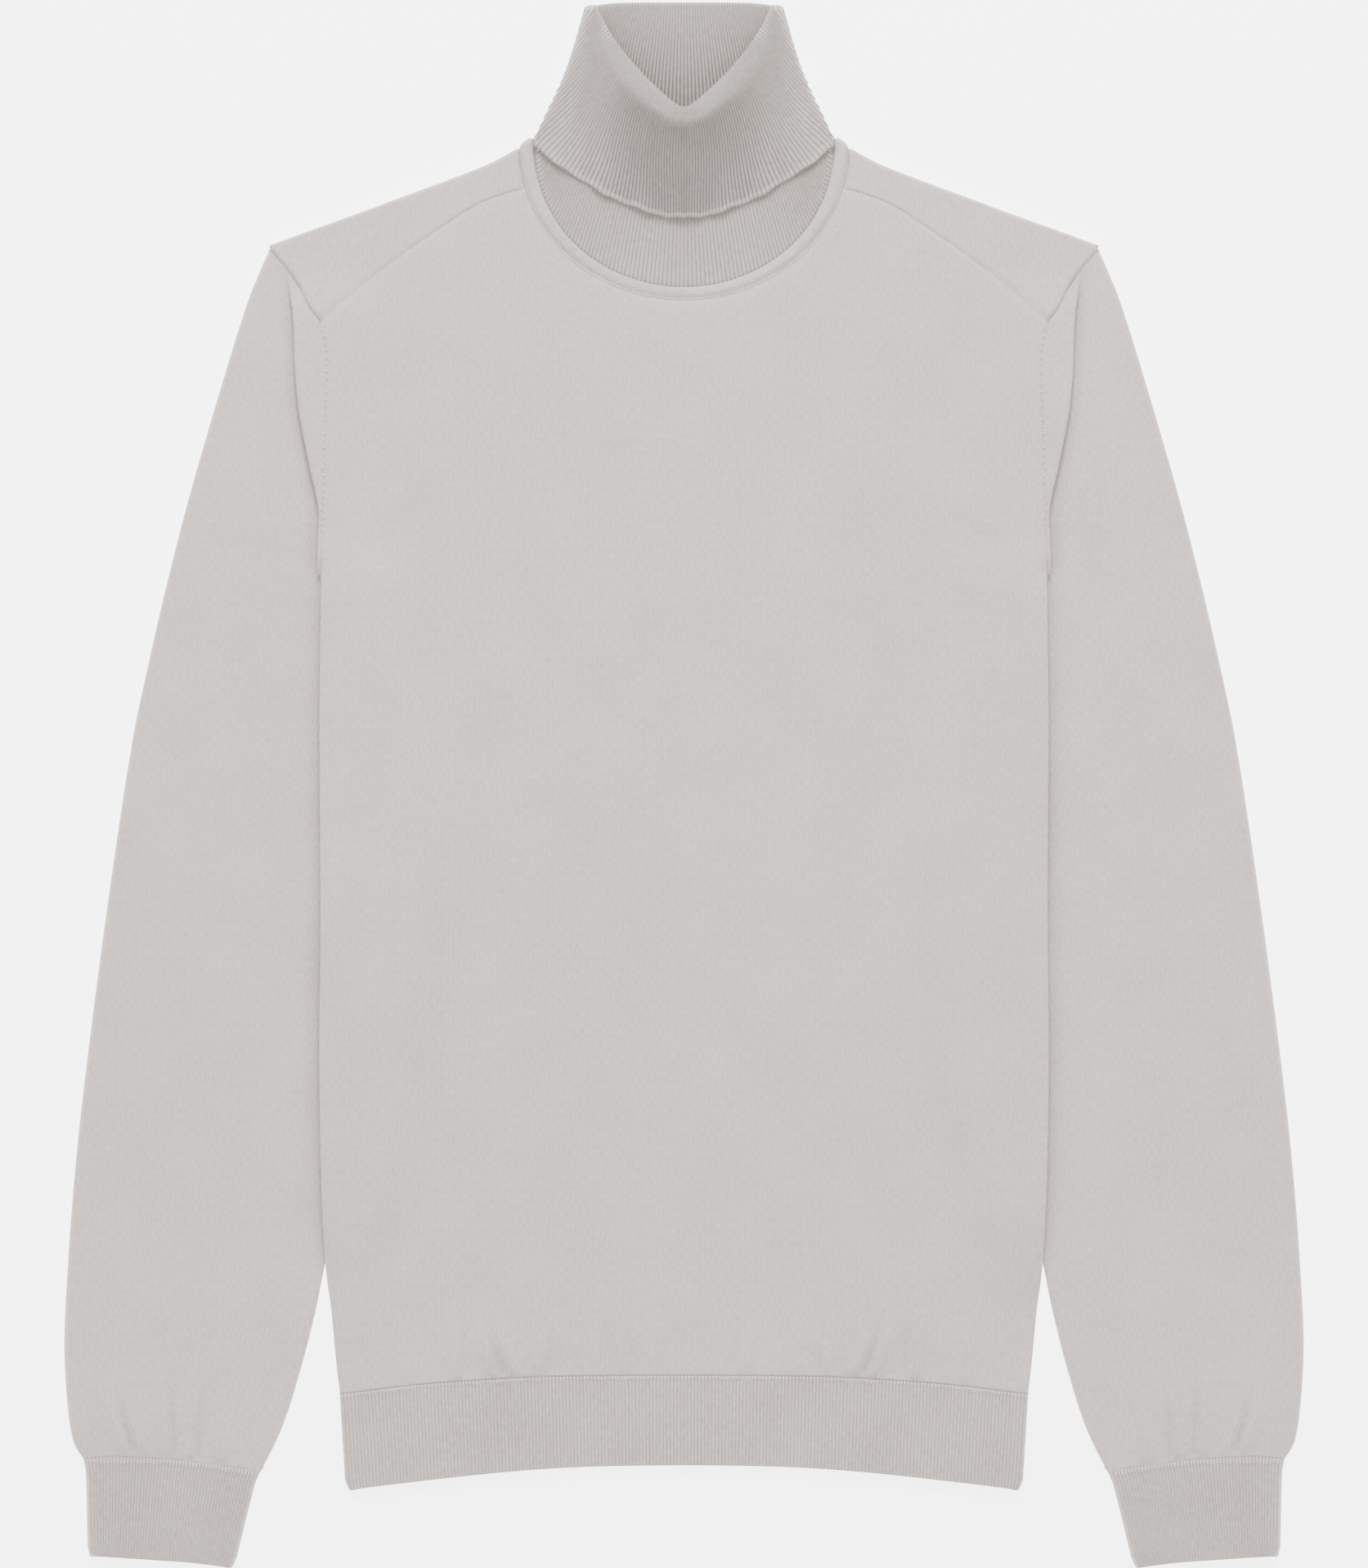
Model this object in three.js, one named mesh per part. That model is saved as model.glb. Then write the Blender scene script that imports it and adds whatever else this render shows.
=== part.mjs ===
import * as THREE from "three";

// A turtleneck sweater in a fine knit, laid flat on its back with its sleeves down beside it.
// Millimetres. +Y runs from the hem to the neck, +X to the right of the picture, +Z up off the surface.
// Every piece is a wall of cloth. The garment is symmetrical, so each plan is drawn for x above 0
// as rows of { half, y }: half is the distance from the centre line, y the distance above the middle.

// Cloth
const JERSEY = 1.2; // wall of the plain knit
const RIB = 1.5; // wall of the ribbed knit
const GAP = 0.3; // clearance at a seam, and between layers that lie on each other
const HOLLOW = 1.8; // clear height inside the body and the sleeves
const TUCKED_HOLLOW = 0.9; // clear height inside the sleeve where the body lies on it
const RIB_HEIGHT = 0.22; // how far a rib stands above its mean surface
const RIB_PITCH = 3.0; // one modelled rib stands for two real ones
const CLOTH = { color: 0xccc8c6, roughness: 0.95, metalness: 0 };
const CLOTH_RIB = { color: 0xc0bcbb, roughness: 0.95, metalness: 0 };

// Body
const BACK_LEVEL = JERSEY / 2;
const FRONT_LEVEL = BACK_LEVEL + JERSEY + HOLLOW;
const TUCKED_RISE = 2 * (JERSEY + GAP) + TUCKED_HOLLOW; // rise of the body's sides over the tucked sleeves
const ARMHOLE_RISE = 1.6; // the front stands this far over the sleeve's edge at the armhole
const NECK = { half: 85, y: 327, frontDrop: 76.7, backDrop: 10, seamAngle: 1.3 };
const HEM_SEAM = [
  { half: 0, y: -303.2 },
  { half: 65.7, y: -303.7 },
  { half: 114, y: -306.2 },
  { half: 143.4, y: -308.7 },
  { half: 176.4, y: -312.9 },
];
const SIDE_SEAM = [
  { half: 176.4, y: -312.9 },
  { half: 178.3, y: -299 },
  { half: 181.2, y: -268.8 },
  { half: 184, y: -246 },
  { half: 186.2, y: -200 },
  { half: 187.1, y: -138 },
  { half: 186.5, y: -60 },
  { half: 187, y: 34 },
  { half: 186, y: 113 },
];
const ARMHOLE = [
  { half: 184.9, y: 180 },
  { half: 183.6, y: 216 },
  { half: 187, y: 238 },
];
const ARMHOLE_TOP = [
  { half: 192.6, y: 246 },
  { half: 199.3, y: 259 },
  { half: 210.3, y: 272.6 },
];
const FORWARD_SEAM = [
  { half: 81.9, y: 306.5 },
  { half: 103.5, y: 299.5 },
  { half: 124.5, y: 286.4 },
  { half: 156.9, y: 263.3 },
  { half: 187, y: 238 },
];
const SHOULDER_FOLD = [
  { half: 84.6, y: 325.2 },
  { half: 99, y: 317.4 },
  { half: 120.4, y: 308.9 },
  { half: 143.1, y: 300.5 },
  { half: 165.7, y: 292.1 },
  { half: 189.3, y: 283.6 },
  { half: 210.3, y: 275.2 },
];

// Sleeve: the outer fold from the shoulder to the cuff, the inner fold from the armpit, tucked under the body
const SLEEVE_LEVEL = 3.4; // middle of its front layer
const TUCK_RISE = 1.8; // step at the tuck, up to the body's level
const CUFF_FULLNESS = 0.8; // how far the sleeve swells above its cuff
const OUTER_FOLD = [
  { half: 212.6, y: 275 },
  { half: 217.4, y: 264.6 },
  { half: 227, y: 239.4 },
  { half: 249.7, y: 163.8 },
  { half: 263.1, y: 113.4 },
  { half: 274.9, y: 63 },
  { half: 285, y: 12.6 },
  { half: 299.7, y: -88.2 },
  { half: 311.9, y: -189 },
  { half: 317.7, y: -268.8 },
  { half: 317.7, y: -304 },
  { half: 314.4, y: -334.3 },
  { half: 308.6, y: -345.8 },
];
const INNER_FOLD = [
  { half: 186.6, y: 113 },
  { half: 186.4, y: 94 },
  { half: 183, y: 76 },
  { half: 174, y: 57 },
  { half: 161, y: 36 },
  { half: 151, y: 8 },
  { half: 147.5, y: -25 },
  { half: 150, y: -70 },
  { half: 158.5, y: -130 },
  { half: 173.5, y: -200 },
  { half: 184.3, y: -246 },
  { half: 188.8, y: -268.8 },
  { half: 196.4, y: -299 },
  { half: 206, y: -329.3 },
  { half: 217.6, y: -353.2 },
];
const SLEEVE_HEAD = [
  { half: 212.6, y: 275 },
  { half: 200.1, y: 258.5 },
  { half: 193.9, y: 245 },
  { half: 188.6, y: 236.6 },
  { half: 184.9, y: 216 },
  { half: 186, y: 180 },
  { half: 186.6, y: 113 },
];
const CUFF_SEAM = [
  { half: 308.6, y: -345.8 },
  { half: 292.5, y: -344.2 },
  { half: 263.1, y: -346.2 },
  { half: 230.6, y: -350.2 },
  { half: 217.6, y: -353.2 },
];
const TUCK = [
  { half: 187, y: 113 },
  { half: 188.9, y: 138.6 },
  { half: 192.6, y: 163.8 },
  { half: 196.8, y: 180.6 },
  { half: 199.3, y: 197.4 },
  { half: 200.8, y: 222.6 },
  { half: 201.6, y: 239.4 },
  { half: 204, y: 256.2 },
  { half: 212, y: 274 },
];

// Bands
const CUFF_TOP = [
  { half: 306.9, y: -346.4 },
  { half: 263.1, y: -346.9 },
  { half: 230.6, y: -350.9 },
  { half: 219.2, y: -353.6 },
];
const CUFF_BOTTOM = [
  { half: 305.6, y: -395.9 },
  { half: 284, y: -397.3 },
  { half: 258.9, y: -399 },
  { half: 246.3, y: -400.2 },
  { half: 231.4, y: -402 },
];
const HEM_BOTTOM = [
  { half: 0, y: -349.4 },
  { half: 40.5, y: -349.9 },
  { half: 74.1, y: -351.5 },
  { half: 107.7, y: -354.5 },
  { half: 141.3, y: -358.3 },
  { half: 173.4, y: -362.2 },
];
const TRIM_WIDTH = 5;

// Collar: the mouth is a V with a soft point, the turnover spreads downwards
const MOUTH = { y: 345.2, point: 2.3, slope: 0.92, flare: 1.2e-4, half: 44.5 };
const COLLAR_TOP = 402;
const STAND_LEVEL = { middle: 11, side: 6.5 }; // level of the front stand under its roll
const SIDE_SWELL = 1.3; // how far the stand's sides rise as they leave the neckline
const ROLL = { front: 3.2, side: 1.8, back: 1.2 };
const TURNOVER = { half: 75.2, y: 291.5, rise: 36.1, backY: 346, level: 9.4, sideLevel: 7.3 };

// Soft ridges in the cloth: from one end to the other, with a width and a height
const BODY_RIDGES = [
  { half: 143, y: -275, toHalf: 143.5, toY: -305, width: 6, height: 0.5 },
  { half: 118, y: -268, toHalf: 114, toY: -303, width: 5, height: 0.7 },
  { half: 103.5, y: -283, toHalf: 91, toY: -303, width: 5, height: 0.9 },
  { half: 36, y: -272, toHalf: 26, toY: -302, width: 6, height: 0.6 },
];
const SLEEVE_RIDGES = [
  { half: 295, y: -314, toHalf: 281.5, toY: -344, width: 5, height: 0.9 },
  { half: 265, y: -303, toHalf: 262, toY: -343, width: 6, height: 0.8 },
  { half: 247, y: -312, toHalf: 251, toY: -346, width: 5, height: 0.8 },
];

const { cos, sin, min, max, abs, hypot, PI } = Math;
const mix = (a, b, t) => a + (b - a) * t;
const ramp = (from, to, x) => {
  const t = min(max((x - from) / (to - from), 0), 1);
  return t * t * (3 - 2 * t);
};
const evenly = (count, from = 0, to = 1) =>
  Array.from({ length: count + 1 }, (_, i) => mix(from, to, i / count));

// A smooth plan curve through the rows, read by the share of its length.
function route(rows) {
  const curve = new THREE.SplineCurve(rows.map((row) => new THREE.Vector2(row.half, row.y)));
  return (t) => curve.getPointAt(min(max(t, 0), 1));
}

// The half width of the smooth curve through the rows at a height. Past its ends it keeps its last width.
function widthAt(rows) {
  const rising = evenly(20 * rows.length).map(route(rows)).sort((a, b) => a.y - b.y);
  return (y) => {
    const next = rising.findIndex((p) => p.y > y);
    if (next === 0) return rising[0].x;
    if (next < 0) return rising.at(-1).x;
    const [low, high] = [rising[next - 1], rising[next]];
    return mix(low.x, high.x, (y - low.y) / (high.y - low.y));
  };
}

// A plan patch between four curves: u runs along the bottom and the top, v up the two sides.
function patch(bottom, top, start, end) {
  const corner = [start(0), end(0), start(1), end(1)];
  return (u, v) => {
    const [b, t, s, e] = [bottom(u), top(u), start(v), end(v)];
    const blend = (key) =>
      mix(b[key], t[key], v) +
      mix(s[key], e[key], u) -
      mix(mix(corner[0][key], corner[1][key], u), mix(corner[2][key], corner[3][key], u), v);
    return new THREE.Vector2(blend("x"), blend("y"));
  };
}

// The height of a set of soft ridges over a plan point: a bell across each line that fades at its upper end.
function ridges(rows, half, y) {
  return rows.reduce((sum, row) => {
    const [dx, dy] = [row.toHalf - row.half, row.toY - row.y];
    const along = ((half - row.half) * dx + (y - row.y) * dy) / (dx * dx + dy * dy);
    const t = min(max(along, 0), 1);
    const away = hypot(half - row.half - dx * t, y - row.y - dy * t);
    return sum + row.height * ramp(0, 0.6, t) * Math.exp(-((away / row.width) ** 2));
  }, 0);
}

// Levels of the cloth's middle surface over a plan point. The body's sides lie on the tucked sleeves,
// so both panels rise there; the sleeve's front drops from the body's level at the tuck.
const sideAt = widthAt(SIDE_SEAM);
const hiddenFoldAt = widthAt(INNER_FOLD);
const tuckAt = widthAt(TUCK);

function lift(half, y) {
  const fold = hiddenFoldAt(y);
  const along = ramp(-292, -240, y) * (1 - ramp(118, 158, y));
  return TUCKED_RISE * ramp(fold - 40, fold - 12, half) * along;
}

function backLevel(half, y) {
  return BACK_LEVEL + lift(half, y);
}

function frontLevel(half, y) {
  const back = backLevel(half, y);
  const atArmhole = ARMHOLE_RISE * ramp(145, 178, half) * ramp(100, 125, y) * (1 - ramp(238, 268, y));
  const open = back + JERSEY + HOLLOW + atArmhole + ridges(BODY_RIDGES, half, y);
  const toSide = ramp(sideAt(y) - 8, sideAt(y), half) ** 2 * (1 - ramp(113, 132, y));
  return mix(open, back + JERSEY + 2 * GAP, toSide);
}

function sleeveLevel(half, y) {
  const raised = ramp(tuckAt(y) + 1.5, tuckAt(y) - 1.5, half) * ramp(138, 165, y) * (1 - ramp(240, 268, y));
  const hidden = ramp(sideAt(y) + 9, sideAt(y) + 1, half) * (1 - ramp(112, 140, y)) * ramp(-262, -246, y);
  const full = CUFF_FULLNESS * ramp(-350, -315, y) * (1 - ramp(-280, -200, y)) + ridges(SLEEVE_RIDGES, half, y);
  return mix(SLEEVE_LEVEL + full + TUCK_RISE * raised, BACK_LEVEL + JERSEY + TUCKED_HOLLOW, hidden);
}

// A mesh of middle-surface points and quads. Points that coincide are one point.
class Surface {
  points = [];
  quads = [];
  #index = new Map();

  point(p) {
    const key = [p.x, p.y, p.z].map((n) => Math.round(n * 1e3)).join();
    if (!this.#index.has(key)) {
      this.#index.set(key, this.points.length);
      this.points.push(p);
    }
    return this.#index.get(key);
  }

  // Rows of points joined by quads. A closed row's last point is joined to its first.
  rows(rows, closed = false) {
    const ids = rows.map((row) => row.map((p) => this.point(p)));
    for (let j = 0; j + 1 < ids.length; j += 1) {
      const count = ids[j].length;
      for (let i = 0; i + (closed ? 0 : 1) < count; i += 1) {
        const next = (i + 1) % count;
        this.quads.push([ids[j][i], ids[j][next], ids[j + 1][next], ids[j + 1][i]]);
      }
    }
    return this;
  }
}

// A closed wall around a surface: its points moved half the thickness both ways along their normals,
// joined by a rim along every open edge.
function wall(surface, thickness) {
  const { points, quads } = surface;
  const normals = points.map(() => new THREE.Vector3());
  const edges = new Map();
  for (const quad of quads) {
    const [a, b, c, d] = quad.map((i) => points[i]);
    const face = new THREE.Vector3().crossVectors(c.clone().sub(a), d.clone().sub(b));
    quad.forEach((i) => normals[i].add(face));
    quad.forEach((from, k) => edges.set(`${from},${quad[(k + 1) % 4]}`, [from, quad[(k + 1) % 4]]));
  }
  const moved = (side) =>
    points.map((p, i) => p.clone().addScaledVector(normals[i].clone().normalize(), (side * thickness) / 2));
  const faces = [];
  const under = points.length;
  for (const [a, b, c, d] of quads) {
    faces.push([a, b, c], [a, c, d]);
    faces.push([under + c, under + b, under + a], [under + d, under + c, under + a]);
  }
  for (const [key, [a, b]] of edges) {
    if (edges.has(key.split(",").reverse().join())) continue;
    faces.push([b, a, under + a], [b, under + a, under + b]);
  }
  return solid([...moved(1), ...moved(-1)], faces);
}

// A closed wall whose outer face carries ribs. The outer face has every column of the rows and the plain
// inner face only the kept ones, so each inner face meets several outer ones along the rims.
function ribbedWall(rows, keep, ribHeight, closed = false) {
  const count = rows[0].length;
  const step = (list, i, by) => list[closed ? (i + by + count) % count : min(max(i + by, 0), count - 1)];
  const normalAt = (j, i) => {
    const across = step(rows[j], i, 1).clone().sub(step(rows[j], i, -1));
    const up = rows[min(j + 1, rows.length - 1)][i].clone().sub(rows[max(j - 1, 0)][i]);
    return across.cross(up).normalize();
  };
  const points = [];
  const add = (p) => points.push(p) - 1;
  const outer = rows.map((row, j) =>
    row.map((p, i) => add(p.clone().addScaledVector(normalAt(j, i), RIB / 2 + ribHeight(i)))),
  );
  const inner = rows.map((row, j) =>
    keep.map((i) => add(row[i].clone().addScaledVector(normalAt(j, i), -RIB / 2))),
  );
  const faces = [];
  const quad = (a, b, c, d) => faces.push([a, b, c], [a, c, d]);
  const cells = (ids, flip) => {
    for (let j = 0; j + 1 < ids.length; j += 1)
      for (let i = 0; i + (closed ? 0 : 1) < ids[j].length; i += 1) {
        const next = (i + 1) % ids[j].length;
        const corners = [ids[j][i], ids[j][next], ids[j + 1][next], ids[j + 1][i]];
        quad(...(flip ? corners.reverse() : corners));
      }
  };
  cells(outer, false);
  cells(inner, true);
  const rim = (j, flip) => {
    for (let k = 0; k + (closed ? 0 : 1) < keep.length; k += 1) {
      const from = keep[k];
      const to = k + 1 < keep.length ? keep[k + 1] : count;
      const [a, b] = [inner[j][k], inner[j][(k + 1) % keep.length]];
      const middle = Math.ceil((from + to) / 2);
      const fan = [[outer[j][middle % count], a, b]];
      for (let i = from; i < to; i += 1)
        fan.push([outer[j][(i + 1) % count], outer[j][i % count], i < middle ? a : b]);
      faces.push(...(flip ? fan.map((face) => face.reverse()) : fan));
    }
  };
  rim(0, false);
  rim(rows.length - 1, true);
  if (!closed)
    for (let j = 0; j + 1 < rows.length; j += 1) {
      quad(outer[j][0], outer[j + 1][0], inner[j + 1][0], inner[j][0]);
      quad(outer[j + 1].at(-1), outer[j].at(-1), inner[j].at(-1), inner[j + 1].at(-1));
    }
  return solid(points, faces);
}

// A geometry from points and triangles, turned so that its faces point out. Nothing lies below the surface.
function solid(points, faces) {
  const settled = points.map((p) => new THREE.Vector3(p.x, p.y, p.z < 0.03 ? 0 : p.z));
  const volume = faces.reduce((sum, [a, b, c]) => {
    const cross = new THREE.Vector3().crossVectors(settled[b], settled[c]);
    return sum + settled[a].dot(cross);
  }, 0);
  const geometry = new THREE.BufferGeometry();
  geometry.setAttribute(
    "position",
    new THREE.Float32BufferAttribute(settled.flatMap((p) => [p.x, p.y, p.z]), 3),
  );
  geometry.setIndex(faces.flatMap(([a, b, c]) => (volume > 0 ? [a, b, c] : [a, c, b])));
  geometry.computeVertexNormals();
  return geometry;
}

// Puts a plan point at a height, mirrored for a negative side.
const place = (plan, z, side = 1) => new THREE.Vector3(side * plan.x, plan.y, z);

// Half of a plan drawn for u from 0 to 1 gives the whole for u from -1 to 1.
const bothSides = (half) => (u, v) => ({ plan: half(abs(u), v), side: u < 0 ? -1 : 1 });

// The panels' columns at the shoulder, as shares of the forward seam
const SHOULDER_SHARES = [0, 0.16, 0.33, 0.5, 0.66, 0.8, 0.91, 1];

// Front panel
function frontPanel() {
  const neckShare = 0.5;
  const seam = route(FORWARD_SEAM);
  const top = (u) => {
    const angle = (NECK.seamAngle * u) / neckShare;
    if (u < neckShare)
      return new THREE.Vector2(
        (NECK.half + GAP) * sin(angle),
        NECK.y - (NECK.frontDrop + GAP) * cos(angle),
      );
    const p = seam((u - neckShare) / (1 - neckShare));
    p.y -= 1.3 * GAP;
    return p;
  };
  const centre = route([HEM_SEAM[0], { half: 0, y: NECK.y - NECK.frontDrop }]);
  const plan = bothSides(patch(route(HEM_SEAM), top, centre, route([...SIDE_SEAM, ...ARMHOLE])));
  const shoulder = SHOULDER_SHARES.map((share) => mix(neckShare, 1, share));
  const across = [...evenly(7, 0, neckShare), ...shoulder.slice(1), 0.98].sort((a, b) => a - b);
  const us = [...across.slice(1).reverse().map((u) => -u), ...across];
  const vs = [0, 0.03, 0.06, 0.1, ...evenly(10, 0.16, 0.72), 0.76, 0.79, 0.83, 0.88, 0.92, 0.95, 0.975, 1];
  const rows = vs.map((v) =>
    us.map((u) => {
      const { plan: p, side } = plan(u, v);
      return place(p, frontLevel(p.x, p.y), side);
    }),
  );
  return wall(new Surface().rows(rows), JERSEY);
}

// Back panel: the back layer, and on each shoulder a strip that turns over the fold to the forward seam
function backPanel() {
  const neckShare = 0.42;
  const fold = route(SHOULDER_FOLD);
  const seam = route(FORWARD_SEAM);
  const neckHalf = SHOULDER_FOLD[0].half;
  const top = (u) => {
    if (u >= neckShare) return fold((u - neckShare) / (1 - neckShare));
    const share = u / neckShare;
    const drop = NECK.backDrop * Math.sqrt(1 - share * share);
    return new THREE.Vector2(neckHalf * share, mix(NECK.y, SHOULDER_FOLD[0].y, share) - drop);
  };
  const centre = route([HEM_SEAM[0], { half: 0, y: NECK.y - NECK.backDrop }]);
  const side = route([...SIDE_SEAM, ...ARMHOLE, ...ARMHOLE_TOP, SHOULDER_FOLD.at(-1)]);
  const plan = bothSides(patch(route(HEM_SEAM), top, centre, side));
  const shoulder = SHOULDER_SHARES.map((share) => mix(neckShare, 1, share));
  const across = [...evenly(3, 0, neckShare), ...shoulder.slice(1)];
  const us = [...across.slice(1).reverse().map((u) => -u), ...across];
  const shoulderRows = [0.74, 0.77, 0.81, 0.86, 0.885, 0.91, 0.935, 0.965, 1];
  const vs = [0, 0.04, 0.08, 0.12, ...evenly(9, 0.18, 0.7), ...shoulderRows];
  const surface = new Surface();
  surface.rows(
    vs.map((v) =>
      us.map((u) => {
        const { plan: p, side: hand } = plan(u, v);
        return place(p, backLevel(p.x, p.y), -hand);
      }),
    ),
  );
  const armholeEdge = route([SHOULDER_FOLD.at(-1), ...[...ARMHOLE_TOP].reverse(), ARMHOLE.at(-1)]);
  const neckEdge = (t) => {
    const angle = mix(PI / 2 - 0.09, NECK.seamAngle, t);
    return new THREE.Vector2(NECK.half * sin(angle) - 0.1 * (1 - t), NECK.y - NECK.frontDrop * cos(angle));
  };
  const startEdge = (t) => (t === 0 ? fold(0) : neckEdge(t));
  const over = patch(fold, seam, startEdge, armholeEdge);
  for (const hand of [-1, 1]) {
    const bent = SHOULDER_SHARES.map((t) => {
      const foot = fold(t);
      const front = frontLevel(foot.x, foot.y);
      const radius = (front - BACK_LEVEL) / 2;
      const ahead = fold(min(t + 0.02, 1)).sub(fold(max(t - 0.02, 0))).normalize();
      const out = new THREE.Vector2(-ahead.y, ahead.x);
      const arc = evenly(4, -PI / 2, PI / 2).map((a) =>
        place(foot.clone().addScaledVector(out, radius * cos(a)), BACK_LEVEL + radius * (1 + sin(a)), hand),
      );
      const flat = [0.12, 0.4, 0.7, 1].map((v) => {
        const p = over(t, v);
        return place(p, frontLevel(p.x, p.y), hand);
      });
      return [...arc, ...flat];
    });
    surface.rows(hand > 0 ? bent : [...bent].reverse());
  }
  return wall(surface, JERSEY);
}

// Sleeve: a flattened tube in level rows from the shoulder to the cuff. Its front and back layers are joined
// by a round outer fold, and below the armpit by an inner fold. Above the armpit its edge is the armhole.
function sleeve(side) {
  const outerAt = widthAt(OUTER_FOLD);
  const headAt = widthAt(SLEEVE_HEAD);
  const armpit = SLEEVE_HEAD.at(-1).y;
  const levels = [
    269, 262, 253, 242, 226, 206, 182, 158, 135, armpit, 94, 76, 55, 30, -5, -55, -115, -175, -220, -246, -275,
    -305, -328,
  ];
  const shown = [0, 0.15, 0.33, 0.52, 0.7, 0.87, 1];
  const back = evenly(3);
  const seam = route(CUFF_SEAM);
  const tube = (outer, inner, at, y) => {
    const closed = y <= armpit;
    const level = (p) => sleeveLevel(p.x, p.y);
    const radius = { outer: (level(outer) - BACK_LEVEL) / 2, inner: (level(inner) - BACK_LEVEL) / 2 };
    const inset = [radius.outer + JERSEY / 2, closed ? radius.inner + JERSEY / 2 : 0];
    const width = outer.x - inner.x;
    const inside = (w) => at(mix(inset[0] / width, 1 - inset[1] / width, w));
    const step = ramp(94, 135, y);
    const lip = (offset) => (outer.x - (closed ? sideAt(y) : tuckAt(y)) - offset) / width;
    const high = min(max(lip(mix(8, 1.5, step)), 0.3), 0.86);
    const low = min(max(lip(mix(1, -1.5, step)), high + 0.06), 0.94);
    const front = [...shown.map((w) => w * high), low, 1].map(inside);
    const arc = (foot, turn, r) =>
      evenly(3, -PI / 2, PI / 2)
        .slice(1, -1)
        .map((a) => new THREE.Vector3(foot.x + turn * r * cos(a), foot.y, BACK_LEVEL + r * (1 + sin(a))));
    const top = front.map((p) => place(p, level(p)));
    const bottom = back.map((w) => place(inside(w), BACK_LEVEL));
    const outerFold = arc(front[0], 1, radius.outer).reverse();
    const innerFold = arc(front.at(-1), -1, radius.inner);
    const mirrored = (list) => list.map((p) => new THREE.Vector3(side * p.x, p.y, p.z));
    return {
      layers: mirrored([...[...top].reverse(), ...outerFold, ...bottom]),
      fold: closed ? mirrored([bottom.at(-1), ...innerFold, top.at(-1)]) : null,
    };
  };
  const rows = levels.map((y) => {
    const inner = new THREE.Vector2(y > armpit ? headAt(y) : hiddenFoldAt(y), y);
    const outer = new THREE.Vector2(outerAt(y), y);
    return tube(outer, inner, (w) => outer.clone().lerp(inner, w), y);
  });
  rows.push(tube(seam(0), seam(1), seam, seam(0.5).y));
  const surface = new Surface();
  surface.rows(rows.map((row) => row.layers));
  surface.rows(rows.filter((row) => row.fold).map((row) => row.fold));
  return wall(surface, JERSEY);
}

// Ribs across a row: a column on each rib's crest and one in each groove.
const ribColumns = (width) => 2 * Math.round(width / RIB_PITCH);
const crest = (i) => (i % 2 ? RIB_HEIGHT : -RIB_HEIGHT);

// Cuff: a flattened ribbed tube with its ribs on the upper layer
function cuff(side) {
  const [top, bottom] = [route(CUFF_TOP), route(CUFF_BOTTOM)];
  const front = evenly(ribColumns(CUFF_TOP[0].half - CUFF_TOP.at(-1).half));
  const back = evenly(6, 1, 0);
  const [low, high] = [RIB / 2, RIB / 2 + RIB + HOLLOW];
  const radius = (high - low) / 2;
  const rows = [0, 0.5, 1].map((v) => {
    const across = (w) => {
      const inset = (radius + RIB / 2) / top(0).distanceTo(top(1));
      const t = mix(inset, 1 - inset, w);
      return top(t).lerp(bottom(t), v);
    };
    const fold = (w, from, to) =>
      evenly(4, from, to)
        .slice(1, -1)
        .map((a) => {
          const foot = across(w);
          foot.x += (w === 0 ? 1 : -1) * radius * cos(a);
          return place(foot, low + radius * (1 + sin(a)), side);
        });
    return [
      ...front.map((w) => place(across(w), high, side)),
      ...fold(1, PI / 2, -PI / 2),
      ...back.map((w) => place(across(w), low, side)),
      ...fold(0, -PI / 2, PI / 2),
    ];
  });
  const last = front.length - 1;
  const keep = [...front.keys()].filter((i) => i % 4 === 0 || i === last);
  const rest = evenly(rows[0].length - last - 2, last + 1, rows[0].length - 1);
  const ordered = side > 0 ? rows : [...rows].reverse();
  return ribbedWall(ordered, [...keep, ...rest], (i) => (i <= last ? crest(i) : 0), true);
}

// Hem band, front and back: its side edges come together as the panels' do
function hemPlan(u, v) {
  const half = abs(u);
  const clear = GAP * 1.2;
  const [top, bottom] = [route(HEM_SEAM)(half), route(HEM_BOTTOM)(half)];
  top.y -= clear;
  return top.lerp(bottom, v);
}

function frontHem() {
  const columns = ribColumns(2 * HEM_BOTTOM.at(-1).half);
  const [low, high] = [2 * RIB + GAP - RIB / 2, FRONT_LEVEL + 0.1];
  const rows = [1, 0.5, 0].map((v) =>
    evenly(columns, -1, 1).map((u) => {
      const p = hemPlan(u, v);
      const toSide = ramp(0.96, 1, abs(u)) ** 2;
      return place(p, mix(high, low, toSide), Math.sign(u));
    }),
  );
  const nearSide = (i) => min(i, columns - i) < 5;
  const keep = [...Array(columns + 1).keys()].filter((i) => i % 6 === 0 || nearSide(i));
  return ribbedWall(rows, keep, crest);
}

function backHem() {
  const rows = [0, 1].map((v) =>
    evenly(12, -1, 1).map((u) => place(hemPlan(u, v), RIB / 2, Math.sign(u))),
  );
  return wall(new Surface().rows(rows), RIB);
}

// A loop around the neck: the front layer from the middle to the side, a round fold, the back layer,
// then the other side mirrored. Front and back are plans and levels read by a share from the middle,
// and bulge is the way that the side fold faces, turned from +X.
function neckLoop({ front, back, frontZ, backZ, bulge = 0 }, shares, backShares) {
  const [frontEnd, backEnd] = [front(1), back(1)];
  const [high, low] = [frontZ(1), backZ(1)];
  const radius = (high - low) / 2;
  const fold = evenly(5, PI / 2, -PI / 2)
    .slice(1, -1)
    .map((a) => {
      const foot = frontEnd.clone().lerp(backEnd, (1 - sin(a)) / 2);
      foot.x += radius * cos(a) * cos(bulge);
      foot.y += radius * cos(a) * sin(bulge);
      return place(foot, (high + low) / 2 + radius * sin(a));
    });
  const right = [
    ...shares.map((s) => place(front(s), frontZ(s))),
    ...fold,
    ...[...backShares].reverse().map((s) => place(back(s), backZ(s))),
  ];
  const left = right.slice(1, -1).reverse().map((p) => new THREE.Vector3(-p.x, p.y, p.z));
  return [...right, ...left];
}

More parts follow.
